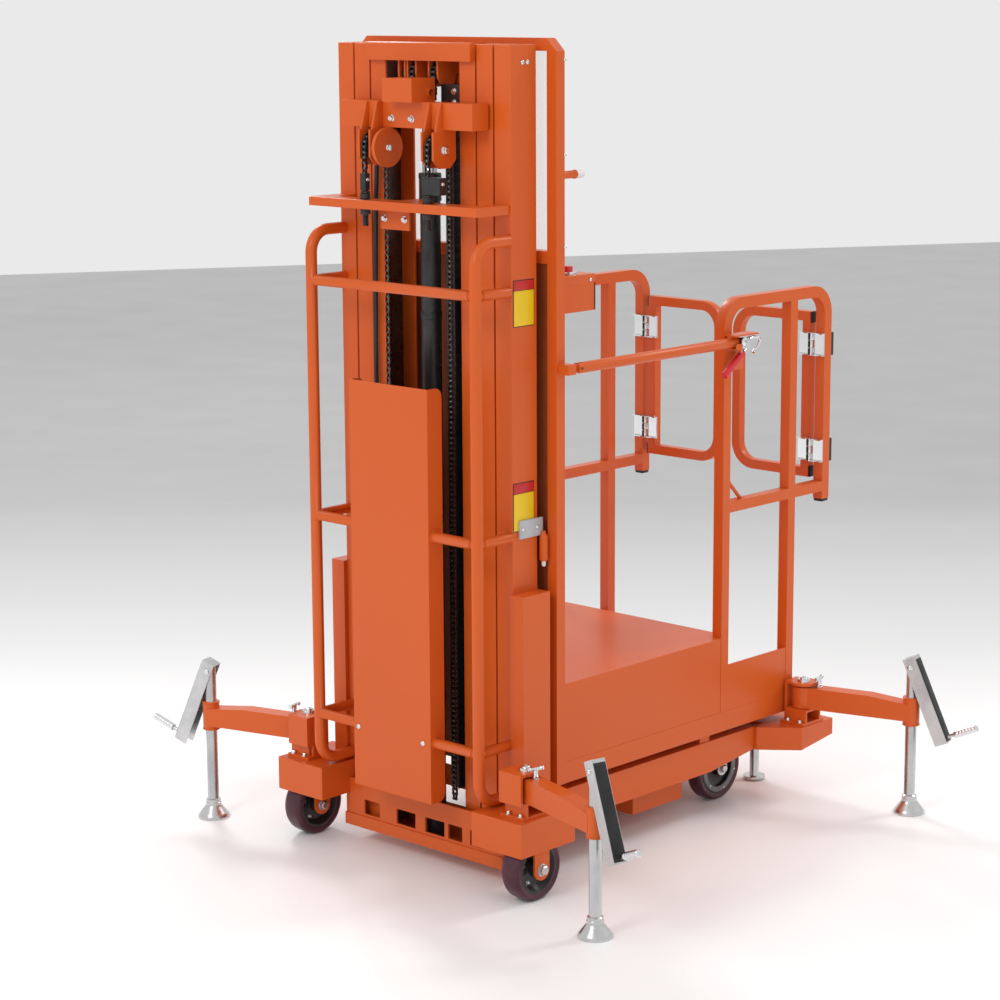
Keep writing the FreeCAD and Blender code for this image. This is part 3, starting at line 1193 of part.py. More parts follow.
def wheel(x, y, radius, width):
    """A wheel with a thick tread, a recessed web and a hub, on an axis along Y."""
    half = width / 2
    lip = radius - TREAD - RIM_LIP
    web = WHEEL_WEB / 2
    hub = half + HUB_WIDTH_EXTRA / 2
    bore = AXLE_R + PIN_GAP
    side = [(bore, hub), (WHEEL_HUB_R, hub), (WHEEL_HUB_R, web), (lip, web), (lip, half),
            (radius - TREAD_EDGE, half), (radius, half - TREAD_EDGE)]
    outline = [V(r, a, 0) for r, a in side] + [V(r, -a, 0) for r, a in reversed(side)]
    face = Part.Face(Part.makePolygon(outline + [outline[0]]))
    solid = face.revolve(V(0, 0, 0), V(0, 1, 0), 360)
    solid.translate(V(x, y, radius))
    return solid


def fork(x, y, radius, width, half, crown_x, crown_top):
    """A fork over a wheel: crown, two legs and the axle."""
    inner = width / 2 + HUB_WIDTH_EXTRA / 2 + FORK_GAP
    outer = inner + FORK_WALL
    crown_half = half + CROWN_EXTRA
    pieces = [box(crown_x - crown_half, crown_x + crown_half, y - outer, y + outer,
                  crown_top - FORK_CROWN, crown_top)]
    for way in (-1, 1):
        y0 = y + way * inner
        leg = [V(crown_x - half, y0, crown_top), V(crown_x + half, y0, crown_top),
               V(x + half, y0, radius), V(x - half, y0, radius)]
        pieces.append(prism(leg, V(0, way * FORK_WALL, 0)))
        pieces.append(rod(V(x, y0, radius), V(x, y0 + way * FORK_WALL, radius), half))
    pieces.append(rod(V(x, y - outer - AXLE_R, radius), V(x, y + outer + AXLE_R, radius), AXLE_R))
    return fuse(pieces)


def rear_wheel_forks():
    """Fixed forks of the rear wheels, welded under the rear blocks."""
    left = fork(REAR_WHEEL_X, REAR_WHEEL_Y, REAR_WHEEL_R, REAR_WHEEL_WIDTH, REAR_FORK_HALF,
                REAR_WHEEL_X, BEAM_TOP - REAR_BLOCK_WALL)
    return Part.Compound(both_sides(left))


def caster_fork():
    """Left front fork that swivels about its kingpin."""
    pin_x = FRONT_WHEEL_X - FRONT_TRAIL
    plate_bottom = BEAM_TOP - BEAM_WALL - CASTER_PLATE_THICK
    ring_top = plate_bottom - SEAT_GAP
    ring_bottom = FRONT_WHEEL_R * 2 + CASTER_CROWN_GAP + FORK_CROWN
    body = fork(FRONT_WHEEL_X, FRONT_WHEEL_Y, FRONT_WHEEL_R, FRONT_WHEEL_WIDTH, FRONT_FORK_HALF,
                pin_x, ring_bottom)
    ring = post(pin_x, FRONT_WHEEL_Y, ring_bottom, ring_top, SWIVEL_RING_R)
    kingpin = post(pin_x, FRONT_WHEEL_Y, ring_bottom, BEAM_TOP - BEAM_WALL, KINGPIN_R)
    return fuse([body, ring, kingpin])


def front_feet():
    """Two support feet that hang under the front block."""
    low = FRONT_FOOT_LIFT
    leg = post(FRONT_FOOT_X, FRONT_FOOT_Y, low, FRONT_BLOCK_BOTTOM + FRONT_BLOCK_TIP_RISE, FRONT_FOOT_ROD_R)
    leg = leg.cut(front_block())
    pad = post(FRONT_FOOT_X, FRONT_FOOT_Y, low, low + FRONT_FOOT_THICK, FRONT_FOOT_R)
    return Part.Compound(both_sides(fuse([leg, pad])))


def export(name, shape):
    """Write one sub-part in its final place."""
    placed = shape.copy()
    placed.translate(V(X_SHIFT, 0, 0))
    placed.exportStep("parts/" + name + ".step")
    print("%-24s valid %s  solids %d  volume %.0f"
          % (name, placed.isValid(), len(placed.Solids), placed.Volume))


def export_base():
    """Everything that stands still on the wheels."""
    export("side_beams", Part.Compound(both_sides(side_beam())))
    export("front_block", front_block())
    export("rear_blocks", Part.Compound(both_sides(rear_block())))
    export("cross_members", cross_members())
    export("battery_case", battery_case())
    export("outer_mast", outer_mast())
    export("mast_floor", mast_floor())
    export("cross_plate", cross_plate())
    export("mast_foot_boxes", Part.Compound(both_sides(mast_foot_box())))
    export("anchor_plate", anchor_plate())
    export("chain_anchors", chain_anchors())
    export("rear_guard", rear_guard())
    export("cover_panel", cover_panel())
    export("lift_cylinder", lift_cylinder())
    export("outrigger_brackets", outrigger_brackets())
    export("rear_wheel_forks", rear_wheel_forks())
    export("front_feet", front_feet())


def export_mast():
    """The two moving mast sections."""
    export("middle_columns", middle_columns())
    export("middle_beam", middle_beam())
    export("lift_sheaves", lift_sheaves())
    export("lift_chains", lift_chains())
    export("lift_rod", lift_rod())
    export("inner_columns", inner_columns())
    export("inner_ties", inner_ties())
    export("head_sheaves", head_sheaves())
    export("head_chains", head_chains())
    export("cable_carrier", cable_carrier())


def export_platform():
    """The platform with its guards, bars and gates."""
    export("platform_base", platform_base())
    export("goods_deck", goods_deck())
    export("goalpost", goalpost())
    export("back_sheet", back_sheet())
    export("mast_shield", mast_shield())
    export("carriage", carriage())
    export("control_box", control_box())
    export("gate_hinges", gate_hinges())
    export("bar_latches", bar_latches())
    for name, side in SIDES:
        export("guard_" + name, to_side(guard_frame(), side))
        export("drop_bar_" + name, to_side(drop_bar(), side))
        export("gate_" + name, to_side(gate(), side))


def export_running_gear():
    """Outriggers, jacks, casters and wheels."""
    for name, sx, sy in CORNERS:
        export("arm_" + name, place_corner(arm(), sx, sy))
        export("jack_leg_" + name, place_corner(jack_leg(), sx, sy))
        export("jack_crank_" + name, place_corner(jack_crank(), sx, sy))
    for name, side in SIDES:
        export("caster_fork_" + name, to_side(caster_fork(), side))
        rear = wheel(REAR_WHEEL_X, REAR_WHEEL_Y, REAR_WHEEL_R, REAR_WHEEL_WIDTH)
        front = wheel(FRONT_WHEEL_X, FRONT_WHEEL_Y, FRONT_WHEEL_R, FRONT_WHEEL_WIDTH)
        export("wheel_rear_" + name, to_side(rear, side))
        export("wheel_front_" + name, to_side(front, side))


os.makedirs("parts", exist_ok=True)
export_base()
export_mast()
export_platform()
export_running_gear()
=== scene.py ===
import math

import bmesh
import bpy
from mathutils import Matrix, Vector


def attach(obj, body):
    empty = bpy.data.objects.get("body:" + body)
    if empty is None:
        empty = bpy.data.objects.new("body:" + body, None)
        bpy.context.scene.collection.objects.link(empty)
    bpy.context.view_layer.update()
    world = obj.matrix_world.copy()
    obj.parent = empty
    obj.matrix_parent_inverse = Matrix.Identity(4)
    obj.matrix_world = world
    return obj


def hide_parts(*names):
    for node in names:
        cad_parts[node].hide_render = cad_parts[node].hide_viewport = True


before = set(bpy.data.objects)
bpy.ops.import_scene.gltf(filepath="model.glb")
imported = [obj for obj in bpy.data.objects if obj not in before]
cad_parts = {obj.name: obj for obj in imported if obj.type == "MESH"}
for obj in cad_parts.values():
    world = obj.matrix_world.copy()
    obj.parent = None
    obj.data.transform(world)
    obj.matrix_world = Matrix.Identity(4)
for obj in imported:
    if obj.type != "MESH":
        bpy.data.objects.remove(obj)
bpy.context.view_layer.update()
SCENE = bpy.context.scene

# Sizes are millimetres in the machine's own frame, whose origin lies X_SHIFT from the scene's. at()
# turns a point into the metres of the scene. The camera, floor and lights are in metres from the start.
X_SHIFT = -25.5
MM = 0.001

# Camera
FOCAL_LENGTH = 95.2
SENSOR = 36.0
CAMERA_PLACE = (-5.0849, -4.5398, 2.1875)
CAMERA_YAW = 43.250
CAMERA_PITCH = 11.063
CAMERA_ROLL = -0.320
PICTURE = 1000

# Chains
LIFT_SHEAVE = (-554.0, 107.0, 1799.0)
LIFT_CHAIN_R = 37.0
LIFT_CHAIN_WIDTH = 17.0
LIFT_REAR_END = 1737.0
LIFT_FRONT_END = 178.0
HEAD_SHEAVE = (-466.0, 36.0, 1975.0)
HEAD_CHAIN_R = 30.0
HEAD_CHAIN_WIDTH = 20.0
HEAD_REAR_END = 1915.0
HEAD_FRONT_END = 300.0
CHAIN_PITCH = 12.7
LINK_HEIGHT = 8.0

# Cable carrier
CARRIER_X = -470.0
CARRIER_Y = (-90.0, -62.0)
CARRIER_Z = (200.0, 1893.0)
CARRIER_LINK = 24.0

# Mast
COLUMN_SIDE = 291.0
CYLINDER_X = -475.0
BEAM_REAR = -560.0
BEAM_FACE = -547.0
SHEAVE_PLATE_FACE = 21.5
DISC_FACE = 61.5
ANCHOR_TAB_X = -563.0
BACK_SHEET_X = -380.0

# Blank warning plates: X from and to, Z from and to
WARNING_PLATES = ((-494.0, -421.0, 1384.0, 1496.0), (-497.0, -423.0, 888.0, 1007.0))

# Limits between two materials on one node
# The inner columns' channel insides within these limits are painted dark brown: painted shade of the deep
# channels.
CHANNEL_SHADE_HALF = 172.0
CHANNEL_SHADE_X = (-491.0, -406.0)
BRACKET_PIN_Z = 328.0
ARM_PIN_Z = 320.5
LATCH_GRIP_Z = 1252.0
STOP_BUTTON_Z = 1488.0
BUMPER_TOP = 1300.0

# Guard and posts
POST_FACE = 334.0
POST_AXIS = 319.0
MID_POST_X = 273.0
END_POST_X = 706.0
TUBE = 30.0
GATE_REAR = END_POST_X - TUBE / 2
HINGE_Z = (936.0, 1226.0)
HINGE_HEIGHT = 62.0
BAR_Y = 352.5
BAR_R = 13.5
BAR_Z = 1276.0
BAR_PIN_X = -331.0
LATCH_X = 289.0
LATCH_Z = 1279.0
HOOK_OUT = 18.8

# Rear guard
GUARD_X = -612.0
GUARD_Y = 281.0
GUARD_R = 14.5
RAIL_R = 13.0
RAIL_Z = (357.0, 874.0, 1468.0)
PANEL_REAR = -630.0
PANEL_HALF = 135.0

# Wheels: X, Y, radius, width
REAR_WHEEL = (-543.0, 388.0, 80.0, 56.0)
FRONT_WHEEL = (388.0, 208.0, 90.0, 46.0)
CHEEK_REACH = 9.0
CASTER_TRAIL = 20.0

# Floor: metres ahead of the machine along the view, and the floor's grey there. The greys are painted light:
# white where the lamps' light pools around the machine, grey where it falls off further away.
FLOOR_PAINTED_LIGHT = ((0.6, 0.98), (1.1, 0.88), (1.8, 0.72), (2.5, 0.61), (3.35, 0.51), (4.4, 0.41),
               (5.6, 0.40), (9.1, 0.48), (12.0, 0.52))
FLOOR_NEAR = 0.5
FLOOR_REACH = 11.5
FLOOR_DEPTH = 90
FLOOR_SIDE = 60
# Picture rows of the floor's far edge, at the left and at the right
HORIZON_ROWS = (275, 242)

# Lights: name, place, height of the point it looks at, size, power
LIGHTS = (("key", (-6.0, -0.5, 5.0), 0.9, 2.0, 90),
          ("behind", (2.5, 6.0, 6.0), 0.6, 1.6, 180),
          ("right", (5.5, -2.5, 6.0), 0.6, 1.6, 115))
WORLD_STRENGTH = 0.823

# Outriggers
PIVOT = (556.0, 384.0)
JACK = (638.0, 678.0)
CRANK_PIN_Z = 403.0
CRANK_TILT = 23.0
BRACKET_BOLT_Z = 221.0
PIVOT_TOP = 333.5
CORNERS = (("rear_right", -1, -1), ("rear_left", -1, 1), ("front_right", 1, -1), ("front_left", 1, 1))
SIDES = (("right", -1), ("left", 1))


def at(x, y, z):
    """A point in millimetres of the machine's frame, as metres of the scene."""
    return Vector(((x + X_SHIFT) * MM, y * MM, z * MM))


def turned(direction):
    """A matrix that turns the local Z axis to a direction."""
    return Vector(direction).normalized().to_track_quat("Z", "Y").to_matrix().to_4x4()


def facing(point, direction):
    """A matrix that stands at a scene point, with the local Z axis along a direction."""
    return Matrix.Translation(point) @ turned(direction)


# Materials. Noise between these two values fades from the first colour or roughness to the second.
NOISE_LOW = 0.3
NOISE_HIGH = 0.7


class Shader:
    """A Principled material with object-space procedural textures."""

    def __init__(self, name, **sockets):
        self.material = bpy.data.materials.new(name)
        self.material.use_nodes = True
        self.tree = self.material.node_tree
        self.tree.nodes.clear()
        output = self.node("ShaderNodeOutputMaterial")
        self.bsdf = self.node("ShaderNodeBsdfPrincipled")
        self.link(self.bsdf.outputs["BSDF"], output.inputs["Surface"])
        self.place = self.node("ShaderNodeTexCoord").outputs["Object"]
        for socket, value in sockets.items():
            self.bsdf.inputs[socket.replace("_", " ")].default_value = value

    def node(self, kind):
        return self.tree.nodes.new(kind)

    def link(self, source, target):
        self.tree.links.new(source, target)

    def noise(self, scale, detail=2.0, stretch=(1, 1, 1)):
        mapping = self.node("ShaderNodeMapping")
        mapping.inputs["Scale"].default_value = stretch
        self.link(self.place, mapping.inputs["Vector"])
        texture = self.node("ShaderNodeTexNoise")
        texture.inputs["Scale"].default_value = scale
        texture.inputs["Detail"].default_value = detail
        self.link(mapping.outputs["Vector"], texture.inputs["Vector"])
        return texture.outputs["Fac"]

    def ramp(self, factor, stops):
        node = self.node("ShaderNodeValToRGB")
        elements = node.color_ramp.elements
        while len(elements) < len(stops):
            elements.new(0.5)
        for element, (position, color) in zip(elements, stops):
            element.position = position
            element.color = (*color, 1.0)
        self.link(factor, node.inputs["Fac"])
        return node.outputs["Color"]

    def mottle(self, factor, low, high):
        return self.ramp(factor, [(NOISE_LOW, low), (NOISE_HIGH, high)])

    def spread(self, factor, low, high):
        node = self.node("ShaderNodeMapRange")
        node.inputs["From Min"].default_value = NOISE_LOW
        node.inputs["From Max"].default_value = NOISE_HIGH
        node.inputs["To Min"].default_value = low
        node.inputs["To Max"].default_value = high
        self.link(factor, node.inputs["Value"])
        return node.outputs["Result"]

    def color(self, source):
        self.link(source, self.bsdf.inputs["Base Color"])

    def roughness(self, source):
        self.link(source, self.bsdf.inputs["Roughness"])

    def bump(self, height, strength, distance):
        node = self.node("ShaderNodeBump")
        node.inputs["Strength"].default_value = strength
        node.inputs["Distance"].default_value = distance
        self.link(height, node.inputs["Height"])
        self.link(node.outputs["Normal"], self.bsdf.inputs["Normal"])


def orange_paint():
    """Glossy powder coat with a fine orange peel, faint smudges and slight fading."""
    s = Shader("orange_paint", Coat_Weight=0.10, Coat_Roughness=0.16, Specular_IOR_Level=0.30)
    s.color(s.mottle(s.noise(1.7, 2), (0.640, 0.102, 0.0110), (0.665, 0.108, 0.0130)))
    s.roughness(s.spread(s.noise(3, 2), 0.36, 0.40))
    s.bump(s.noise(620, 1), 0.03, 0.0003)
    return s.material


def black_steel():
    """Satin black enamel with faint handling marks."""
    s = Shader("black_steel", Metallic=0.0, Specular_IOR_Level=0.5)
    s.color(s.mottle(s.noise(30, 4), (0.010, 0.010, 0.011), (0.022, 0.021, 0.021)))
    s.roughness(s.spread(s.noise(22, 5), 0.26, 0.46))
    s.bump(s.noise(500, 2), 0.08, 0.0003)
    return s.material


def chain_steel():
    """Dark oiled chain steel, a little shiny on its edges."""
    s = Shader("chain_steel", Metallic=0.85)
    s.color(s.mottle(s.noise(160, 3), (0.022, 0.021, 0.020), (0.075, 0.072, 0.068)))
    s.roughness(s.spread(s.noise(90, 4), 0.22, 0.45))
    return s.material


def black_plastic():
    """Moulded black plastic with a fine grain."""
    s = Shader("black_plastic", Specular_IOR_Level=0.4)
    s.color(s.mottle(s.noise(12, 3), (0.012, 0.012, 0.013), (0.024, 0.024, 0.025)))
    s.roughness(s.spread(s.noise(60, 3), 0.42, 0.60))
    s.bump(s.noise(1400, 2), 0.25, 0.0002)
    return s.material


def bright_steel():
    """Zinc-plated steel with light brushing along its length."""
    s = Shader("bright_steel", Metallic=1.0)
    s.color(s.mottle(s.noise(14, 4), (0.50, 0.50, 0.51), (0.66, 0.66, 0.66)))
    s.roughness(s.spread(s.noise(80, 4, (1, 1, 0.15)), 0.20, 0.36))
    s.bump(s.noise(300, 3, (1, 1, 0.05)), 0.06, 0.0002)
    return s.material


def chrome():
    """Polished hard chrome."""
    s = Shader("chrome", Metallic=1.0)
    s.color(s.mottle(s.noise(9, 3), (0.70, 0.71, 0.72), (0.80, 0.80, 0.81)))
    s.roughness(s.spread(s.noise(40, 4), 0.05, 0.14))
    return s.material


def clear_sheet():
    """Clear polycarbonate with faint smears."""
    s = Shader("clear_sheet", Alpha=0.10, Specular_IOR_Level=0.5)
    s.color(s.mottle(s.noise(3, 3), (0.86, 0.90, 0.92), (0.92, 0.94, 0.95)))
    s.roughness(s.spread(s.noise(9, 5), 0.03, 0.12))
    return s.material


def tread():
    """Plum polyurethane with scuffs from rolling."""
    s = Shader("tread", Specular_IOR_Level=0.45)
    s.color(s.mottle(s.noise(26, 5), (0.042, 0.006, 0.016), (0.085, 0.016, 0.034)))
    s.roughness(s.spread(s.noise(34, 5), 0.28, 0.50))
    s.bump(s.noise(260, 3), 0.12, 0.0004)
    return s.material


def plain(name, low, high, rough_low, rough_high, scale=20, bump=0.05, **sockets):
    """A painted or moulded surface with slight variation between two colours."""
    s = Shader(name, **sockets)
    s.color(s.mottle(s.noise(scale, 4), low, high))
    s.roughness(s.spread(s.noise(scale * 1.7, 4), rough_low, rough_high))
    s.bump(s.noise(700, 2), bump, 0.0003)
    return s.material


def floor_painted_falloff():
    """Pale floor with painted light: white around the machine and grey behind it, a painted fall-off of the
    lamps' light.
    """
    s = Shader("floor_painted_falloff", Specular_IOR_Level=0.3)
    split = s.node("ShaderNodeVectorMath")
    split.operation = "DOT_PRODUCT"
    yaw = math.radians(CAMERA_YAW)
    split.inputs[1].default_value = (math.cos(yaw), math.sin(yaw), 0.0)
    s.link(s.place, split.inputs[0])
    far = s.node("ShaderNodeMapRange")
    far.inputs["From Min"].default_value = FLOOR_NEAR
    far.inputs["From Max"].default_value = FLOOR_NEAR + FLOOR_REACH
    s.link(split.outputs["Value"], far.inputs["Value"])
    # The ramp paints the floor's brightness: a painted pool of light near the machine, fading to grey
    # further off.
    stops = [((ahead - FLOOR_NEAR) / FLOOR_REACH, (grey, grey, grey)) for ahead, grey in FLOOR_PAINTED_LIGHT]
    s.color(s.ramp(far.outputs["Result"], stops))
    s.roughness(s.spread(s.noise(2, 4), 0.38, 0.50))
    return s.material


ORANGE = orange_paint()
BLACK = black_steel()
CHAIN = chain_steel()
ROLLER = plain("roller_steel", (0.10, 0.098, 0.095), (0.22, 0.215, 0.21), 0.24, 0.42, 90, Metallic=0.9)
PLASTIC = black_plastic()
ZINC = bright_steel()
CHROME = chrome()
CLEAR = clear_sheet()
TREAD = tread()
CORE = plain("wheel_core", (0.012, 0.011, 0.012), (0.026, 0.024, 0.025), 0.22, 0.38)
RING = plain("grey_ring", (0.15, 0.155, 0.16), (0.22, 0.225, 0.23), 0.35, 0.5)
RED = plain("red_plastic", (0.62, 0.022, 0.030), (0.72, 0.032, 0.042), 0.25, 0.4)
YELLOW = plain("yellow_label", (0.80, 0.52, 0.003), (0.87, 0.60, 0.006), 0.3, 0.42, 8)
LABEL_RED = plain("red_label", (0.52, 0.010, 0.010), (0.60, 0.018, 0.016), 0.3, 0.42, 8)
LABEL_EDGE = plain("label_edge", (0.010, 0.010, 0.010), (0.02, 0.02, 0.02), 0.3, 0.42, 8)
GREY = plain("grey_bracket", (0.40, 0.41, 0.43), (0.50, 0.51, 0.53), 0.3, 0.45)
# Dark brown for the insides of the inner channels: painted shade, not the steel's own colour.
SHADED_CHANNEL = plain("painted_shade_channel", (0.030, 0.016, 0.010), (0.075, 0.030, 0.016), 0.22, 0.42)
# Darker orange for the back sheet's rear face: painted shade of the narrow gap between mast and sheet.
PAINTED_SHADE_ORANGE = plain("painted_shade_orange", (0.25, 0.052, 0.013), (0.30, 0.062, 0.016), 0.4, 0.6)
WHITE = plain("white_tip", (0.70, 0.69, 0.66), (0.78, 0.77, 0.75), 0.35, 0.5)


# Mesh code


class Piece:
    """One detail piece, gathered in a bmesh and given to a body."""

    def __init__(self, name, body, *materials):
        self.name = name
        self.body = body
        self.materials = materials
        self.bm = bmesh.new()

    def take(self, verts, matrix, slot):
        """Place new vertices, and give their faces a material."""
        bmesh.ops.transform(self.bm, matrix=matrix, verts=verts)
        for face in {f for v in verts for f in v.link_faces}:
            face.material_index = slot
            face.smooth = True

    def lathe(self, profile, matrix, segments=24, slot=0):
        """A turned shape: profile holds (radius, height) in millimetres along the local Z axis."""
        rings = []
        for radius, height in profile:
            if radius < 1e-6:
                rings.append([self.bm.verts.new((0, 0, height * MM))])
                continue
            ring = []
            for i in range(segments):
                angle = 2 * math.pi * i / segments
                x = radius * MM * math.cos(angle)
                y = radius * MM * math.sin(angle)
                ring.append(self.bm.verts.new((x, y, height * MM)))
            rings.append(ring)
        for low, high in zip(rings, rings[1:]):
            for i in range(segments):
                j = (i + 1) % segments
                corners = [low[i % len(low)], low[j % len(low)], high[j % len(high)], high[i % len(high)]]
                unique = []
                for corner in corners:
                    if corner not in unique:
                        unique.append(corner)
                if len(unique) > 2:
                    self.bm.faces.new(unique)
        self.take([v for ring in rings for v in ring], matrix, slot)

    def block(self, low, high, edge=1.0, slot=0, segments=2, matrix=None):
        """A box between two corners in millimetres, with rounded edges; a matrix can place it elsewhere."""
        size = [abs(b - a) * MM for a, b in zip(low, high)]
        verts = bmesh.ops.create_cube(self.bm, size=1.0)["verts"]
        bmesh.ops.scale(self.bm, vec=size, verts=verts)
        edges = list({e for v in verts for e in v.link_edges})
        rounding = min(edge * MM, min(size) * 0.45)
        made = bmesh.ops.bevel(self.bm, geom=edges, offset=rounding, segments=segments, profile=0.5,
                               affect="EDGES", clamp_overlap=True)
        place = matrix
        if place is None:
            place = Matrix.Translation(at(*[(a + b) / 2 for a, b in zip(low, high)]))
        everything = list({v for f in made["faces"] for v in f.verts})
        self.take(everything, place, slot)

    def outline(self, points, start, run, edge=0.0, slot=0):
        """A flat outline of scene points, swept from start along a vector, in metres."""
        verts = [self.bm.verts.new(start + p) for p in points]
        face = self.bm.faces.new(verts)
        swept = bmesh.ops.extrude_face_region(self.bm, geom=[face])
        moved = [g for g in swept["geom"] if isinstance(g, bmesh.types.BMVert)]
        bmesh.ops.translate(self.bm, vec=run, verts=moved)
        every = verts + moved
        if edge:
            edges = list({e for v in every for e in v.link_edges})
            made = bmesh.ops.bevel(self.bm, geom=edges, offset=edge * MM, segments=2, profile=0.5,
                                   affect="EDGES", clamp_overlap=True)
            every = list({v for f in made["faces"] for v in f.verts})
        self.take(every, Matrix.Identity(4), slot)

    def tube(self, points, radius, segments=12, slot=0):
        """A round bar through scene points, with capped ends."""
        rings = []
        for i, point in enumerate(points):
            before = points[max(i - 1, 0)]
            after = points[min(i + 1, len(points) - 1)]
            frame_here = turned(after - before)
            ring = []
            for k in range(segments):
                angle = 2 * math.pi * k / segments
                offset = Vector((math.cos(angle) * radius * MM, math.sin(angle) * radius * MM, 0))
                ring.append(self.bm.verts.new(point + frame_here @ offset))
            rings.append(ring)
        for low, high in zip(rings, rings[1:]):
            shift = min(range(segments), key=lambda s: (high[s].co - low[0].co).length)
            for k in range(segments):
                a = low[k]
                b = low[(k + 1) % segments]
                c = high[(k + 1 + shift) % segments]
                d = high[(k + shift) % segments]
                self.bm.faces.new((a, b, c, d))
        self.bm.faces.new(list(reversed(rings[0])))
        self.bm.faces.new(rings[-1])
        self.take([v for ring in rings for v in ring], Matrix.Identity(4), slot)

    def bolt(self, point, direction, across=13.0, height=6.0, washer=10.0, slot=0):
        """A hex head with its chamfer and a washer, on a surface point."""
        matrix = facing(point, direction)
        r = across / 2 / math.cos(math.radians(30))
        if washer:
            self.lathe([(0, 0), (washer, 0), (washer, 1.1), (washer - 0.5, 1.6), (0, 1.6)], matrix, 24, slot)
        base = 1.5 if washer else 0.0
        self.lathe([(0, base), (r, base), (r, base + height * 0.78), (across / 2 * 0.92, base + height),
                    (0, base + height)], matrix, 6, slot)

    def dome(self, point, direction, radius=8.0, height=4.0, slot=0):
        """A button head with a socket."""
        matrix = facing(point, direction)
        rim = radius * 0.45
        self.lathe([(0, 0), (radius, 0), (radius, height * 0.35), (radius * 0.86, height * 0.75),
                    (radius * 0.6, height), (rim, height), (rim * 0.9, height * 0.5), (0, height * 0.5)],
                   matrix, 20, slot)

    def done(self, replaces=(), sharp=38):
        """Turn the bmesh into an object that rides on its body."""
        bmesh.ops.recalc_face_normals(self.bm, faces=self.bm.faces)
        mesh = bpy.data.meshes.new(self.name)
        self.bm.to_mesh(mesh)
        self.bm.free()
        for material in self.materials:
            mesh.materials.append(material)
        mesh.set_sharp_from_angle(angle=math.radians(sharp))
        obj = bpy.data.objects.new(self.name, mesh)
        SCENE.collection.objects.link(obj)
        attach(obj, self.body)
        if replaces:
            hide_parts(*replaces)
        return obj


# CAD nodes


def dress_node(name, *materials, edge=1.2, pick=None):
    """Give a CAD node its materials and soft edges; pick maps a face's middle to a material."""
    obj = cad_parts[name]
    mesh = obj.data
    mesh.materials.clear()
    for material in materials:
        mesh.materials.append(material)
    for polygon in mesh.polygons:
        polygon.material_index = 0
        if pick:
            middle = polygon.center
            point = (middle.x / MM - X_SHIFT, middle.y / MM, middle.z / MM)
            polygon.material_index = pick(*point)
    weld = obj.modifiers.new("weld", "WELD")
    weld.merge_threshold = 0.00001
    if edge:
        bevel = obj.modifiers.new("soft_edges", "BEVEL")
        bevel.width = edge * MM
        bevel.segments = 2
        bevel.limit_method = "ANGLE"
        bevel.angle_limit = math.radians(40)
        bevel.use_clamp_overlap = True
        bevel.harden_normals = False
        bevel.miter_outer = "MITER_ARC"
    return obj


def dress_cad():
    """Materials and soft edges for every CAD node that stays."""
    orange_nodes = ["side_beams", "front_block", "rear_blocks", "cross_members", "battery_case",
                    "outer_mast", "mast_floor", "cross_plate", "mast_foot_boxes", "anchor_plate",
                    "cover_panel", "middle_columns", "middle_beam", "inner_ties", "platform_base",
                    "goods_deck", "carriage", "rear_wheel_forks"]
    for name in orange_nodes:
        dress_node(name, ORANGE)
    # The channel insides of the inner columns get the dark brown of painted shade.
    dress_node("inner_columns", ORANGE, SHADED_CHANNEL,
               pick=lambda x, y, z: int(abs(y) < CHANNEL_SHADE_HALF and CHANNEL_SHADE_X[0] < x < CHANNEL_SHADE_X[1]))
    # The back sheet's rear face gets the darker orange of painted shade.
    dress_node("back_sheet", ORANGE, PAINTED_SHADE_ORANGE, pick=lambda x, y, z: int(x < BACK_SHEET_X + 0.5))
    dress_node("rear_guard", ORANGE, edge=0)
    dress_node("goalpost", ORANGE)
    dress_node("mast_shield", CLEAR, edge=0.5)
    dress_node("chain_anchors", BLACK, edge=0.8)
    dress_node("lift_cylinder", BLACK)
    dress_node("lift_rod", CHROME, edge=0)
    dress_node("lift_sheaves", CHAIN)
    dress_node("head_sheaves", CHAIN)
    dress_node("front_feet", ZINC)
    dress_node("gate_hinges", CHROME, edge=0.5)
    dress_node("outrigger_brackets", ORANGE, CHROME, pick=lambda x, y, z: int(z > BRACKET_PIN_Z))
    dress_node("bar_latches", CHROME, RED, edge=0.8, pick=lambda x, y, z: int(z < LATCH_GRIP_Z))
    dress_node("control_box", ORANGE, RED, edge=1.5, pick=lambda x, y, z: int(z > STOP_BUTTON_Z))
    for side, _ in SIDES:
        dress_node("guard_" + side, ORANGE, PLASTIC,
                   pick=lambda x, y, z: int(x > END_POST_X + TUBE / 2 - 0.5 and z < BUMPER_TOP))
        dress_node("drop_bar_" + side, ORANGE, edge=0.8)
        dress_node("gate_" + side, ORANGE, CHROME, pick=lambda x, y, z: int(x < GATE_REAR - 0.5))
        dress_node("caster_fork_" + side, ZINC)
    for corner, _, _ in CORNERS:
        dress_node("arm_" + corner, ORANGE, CHROME, pick=lambda x, y, z: int(z > ARM_PIN_Z))
        dress_node("jack_leg_" + corner, ZINC, edge=0.6)
        dress_node("jack_crank_" + corner, ZINC, edge=0.5)


# Running gear


